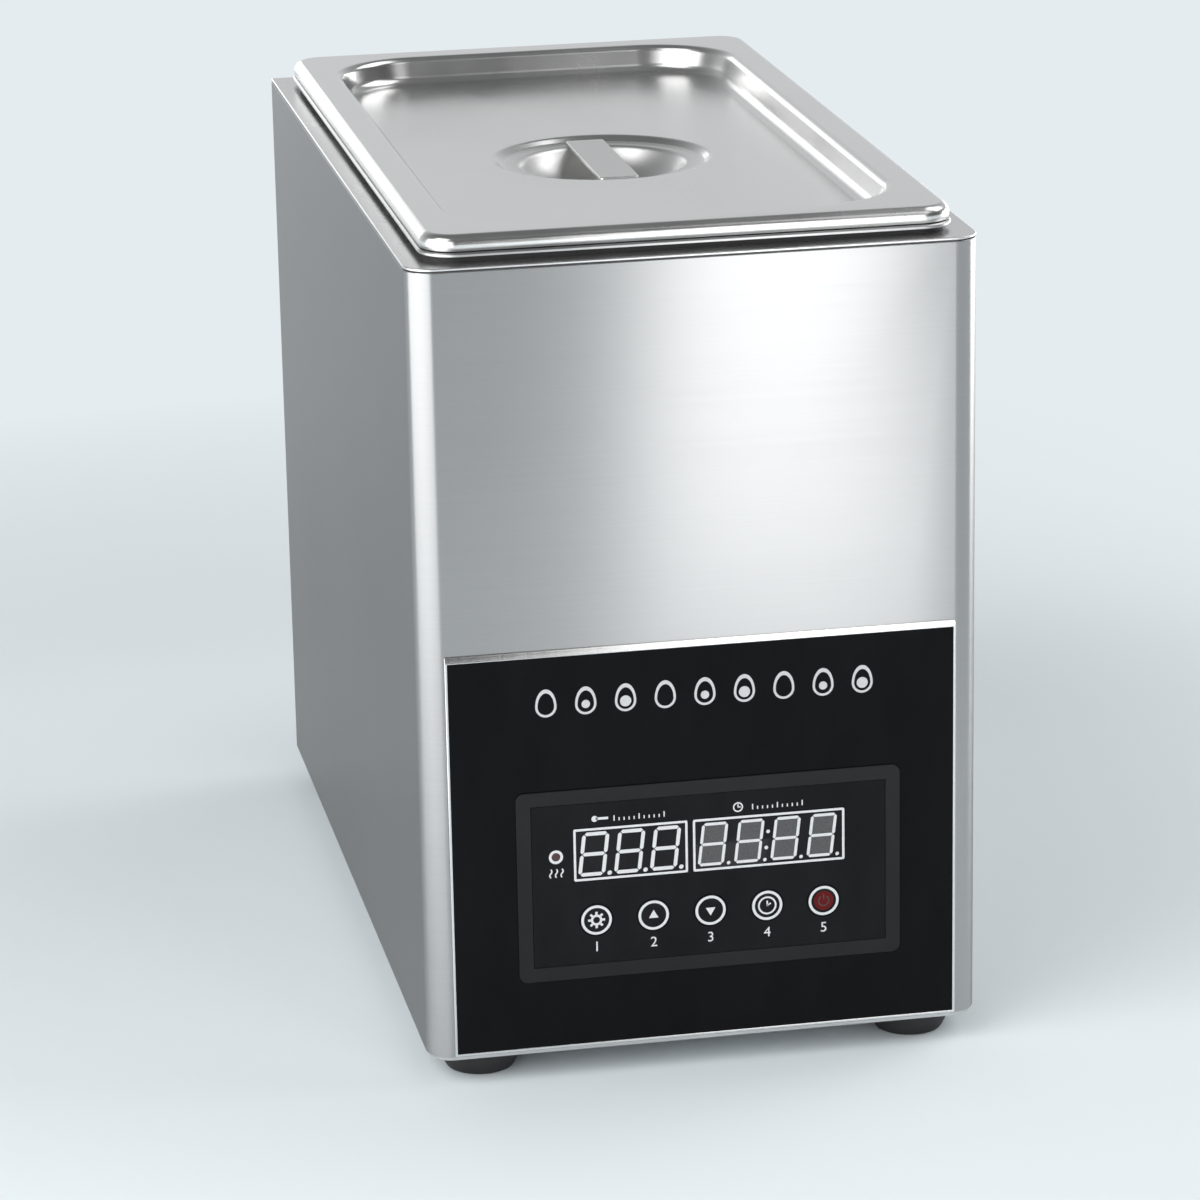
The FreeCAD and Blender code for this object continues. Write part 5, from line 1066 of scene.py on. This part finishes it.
class BOILER_OT_marks(bpy.types.Operator):
    """Print the panel's signs: eggs, scales, heat and numbers"""

    bl_idname = "boiler.marks"
    bl_label = "Printed signs"
    bl_options = {"REGISTER", "UNDO"}

    def execute(self, context):
        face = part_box("control_panel")[0].y
        eggs = Drawing()
        first, pitch, level, yolks = mm(-53), mm(13.4), mm(131.5), (0.0, 0.45, 0.6)
        for k in range(9):
            draw_egg(
                eggs, (first + pitch * k, level), mm(8.6), mm(0.8), yolks[k % len(yolks)])
        eggs.print_on("egg_row", face, "appliance", "ink_title", "black_panel")

        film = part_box("keypad_overlay")[0].y
        pen = Drawing()
        for number, name in enumerate(FRONT_KEYS, 1):
            spot = middle(name + "_key")
            text = bpy.data.curves.new("number", "FONT")
            text.body, text.size, text.align_x = str(number), mm(5.0), "CENTER"
            text.resolution_u = 4
            label = bpy.data.objects.new("number", text)
            flat = label.to_mesh()
            before = set(pen.bm.verts)
            pen.bm.from_mesh(flat)
            shift(pen.bm, pen.fresh(before), Matrix.Translation((spot.x, spot.z - mm(11.2), 0)))
            label.to_mesh_clear()
            bpy.data.objects.remove(label)
        lamp = middle("heating_lamp")
        pen.arc((lamp.x, lamp.z), mm(1.95), mm(0.9))
        for k in range(3):
            x = lamp.x + mm(1.9) * (k - 1)
            pen.arc((x - mm(0.55), lamp.z - mm(5.0)), mm(0.95), mm(0.45), -50, 100, 10)
            pen.arc((x + mm(0.66), lamp.z - mm(6.45)), mm(0.95), mm(0.45), 130, 100, 10)
        for node, sign in (
                ("temperature_display", self.thermometer), ("timer_display", self.clock)):
            low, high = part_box(node)
            x, level = (low.x + high.x) / 2, high.z + mm(3.2)
            foot, pitch = level - mm(1.2), mm(1.7)
            sign(pen, x - mm(10.5), level)
            for k in range(11):
                tall = mm(1.9) if k % 5 == 0 else mm(1.1)
                across = x - mm(5.5) + pitch * k
                pen.bar((across, foot), (across, foot + tall), mm(0.4))
        pen.print_on("panel_signs", film, "appliance", "ink_white", "black_overlay")
        return {"FINISHED"}

    @staticmethod
    def thermometer(pen, x, level):
        """A bulb and its stem, lying down."""
        pen.disc((x - mm(1.6), level), mm(1.05), 20)
        pen.bar((x - mm(1.2), level), (x + mm(3.0), level), mm(0.85))

    @staticmethod
    def clock(pen, x, level):
        """A small clock's face with two hands."""
        pen.arc((x, level), mm(1.5), mm(0.45))
        pen.bar((x, level - mm(0.1)), (x, level + mm(1.0)), mm(0.4))
        pen.bar((x, level), (x + mm(0.9), level), mm(0.4))


class BOILER_OT_finishes(bpy.types.Operator):
    """Give every sub-part of the frame its finish"""

    bl_idname = "boiler.finishes"
    bl_label = "Finishes"
    bl_options = {"REGISTER", "UNDO"}

    def execute(self, context):
        wanted = {s["node"]: s["material_slot"] for s in frame["record"]["subparts"]}
        for node, made in NODES.items():
            for place in made.material_slots:
                place.material = finish(wanted[node])
        return {"FINISHED"}


STEPS = (
    BOILER_OT_studio, BOILER_OT_casing, BOILER_OT_lid, BOILER_OT_strap, BOILER_OT_feet,
    BOILER_OT_hardware, BOILER_OT_inside, BOILER_OT_panel, BOILER_OT_displays,
    BOILER_OT_keys, BOILER_OT_marks, BOILER_OT_finishes,
)


class BOILER_PT_sidebar(bpy.types.Panel):
    """The boiler's steps, in the order in which they run"""

    bl_label = "Counter Egg Boiler"
    bl_space_type = "VIEW_3D"
    bl_region_type = "UI"
    bl_category = "Egg Boiler"

    def draw(self, context):
        for step in STEPS:
            self.layout.operator(step.bl_idname)
        for group in ("boiler_sizes", "boiler_colours", "boiler_studio"):
            settings = getattr(context.scene, group)
            box = self.layout.box()
            for name in settings.bl_rna.properties.keys():
                if name not in {"rna_type", "name"}:
                    box.prop(settings, name)


GROUPS = (BoilerSizes, BoilerColours, BoilerStudio)
CLASSES = GROUPS + STEPS + (BOILER_PT_sidebar,)


def register():
    for item in CLASSES:
        bpy.utils.register_class(item)
    bpy.types.Scene.boiler_sizes = PointerProperty(type=BoilerSizes)
    bpy.types.Scene.boiler_colours = PointerProperty(type=BoilerColours)
    bpy.types.Scene.boiler_studio = PointerProperty(type=BoilerStudio)


def unregister():
    del bpy.types.Scene.boiler_studio
    del bpy.types.Scene.boiler_colours
    del bpy.types.Scene.boiler_sizes
    for item in reversed(CLASSES):
        bpy.utils.unregister_class(item)


def main():
    register()
    for step in STEPS:
        group, name = step.bl_idname.split(".")
        if getattr(getattr(bpy.ops, group), name)() != {"FINISHED"}:
            raise RuntimeError(step.bl_label + " wasn't finished")


if __name__ == "__main__":
    main()
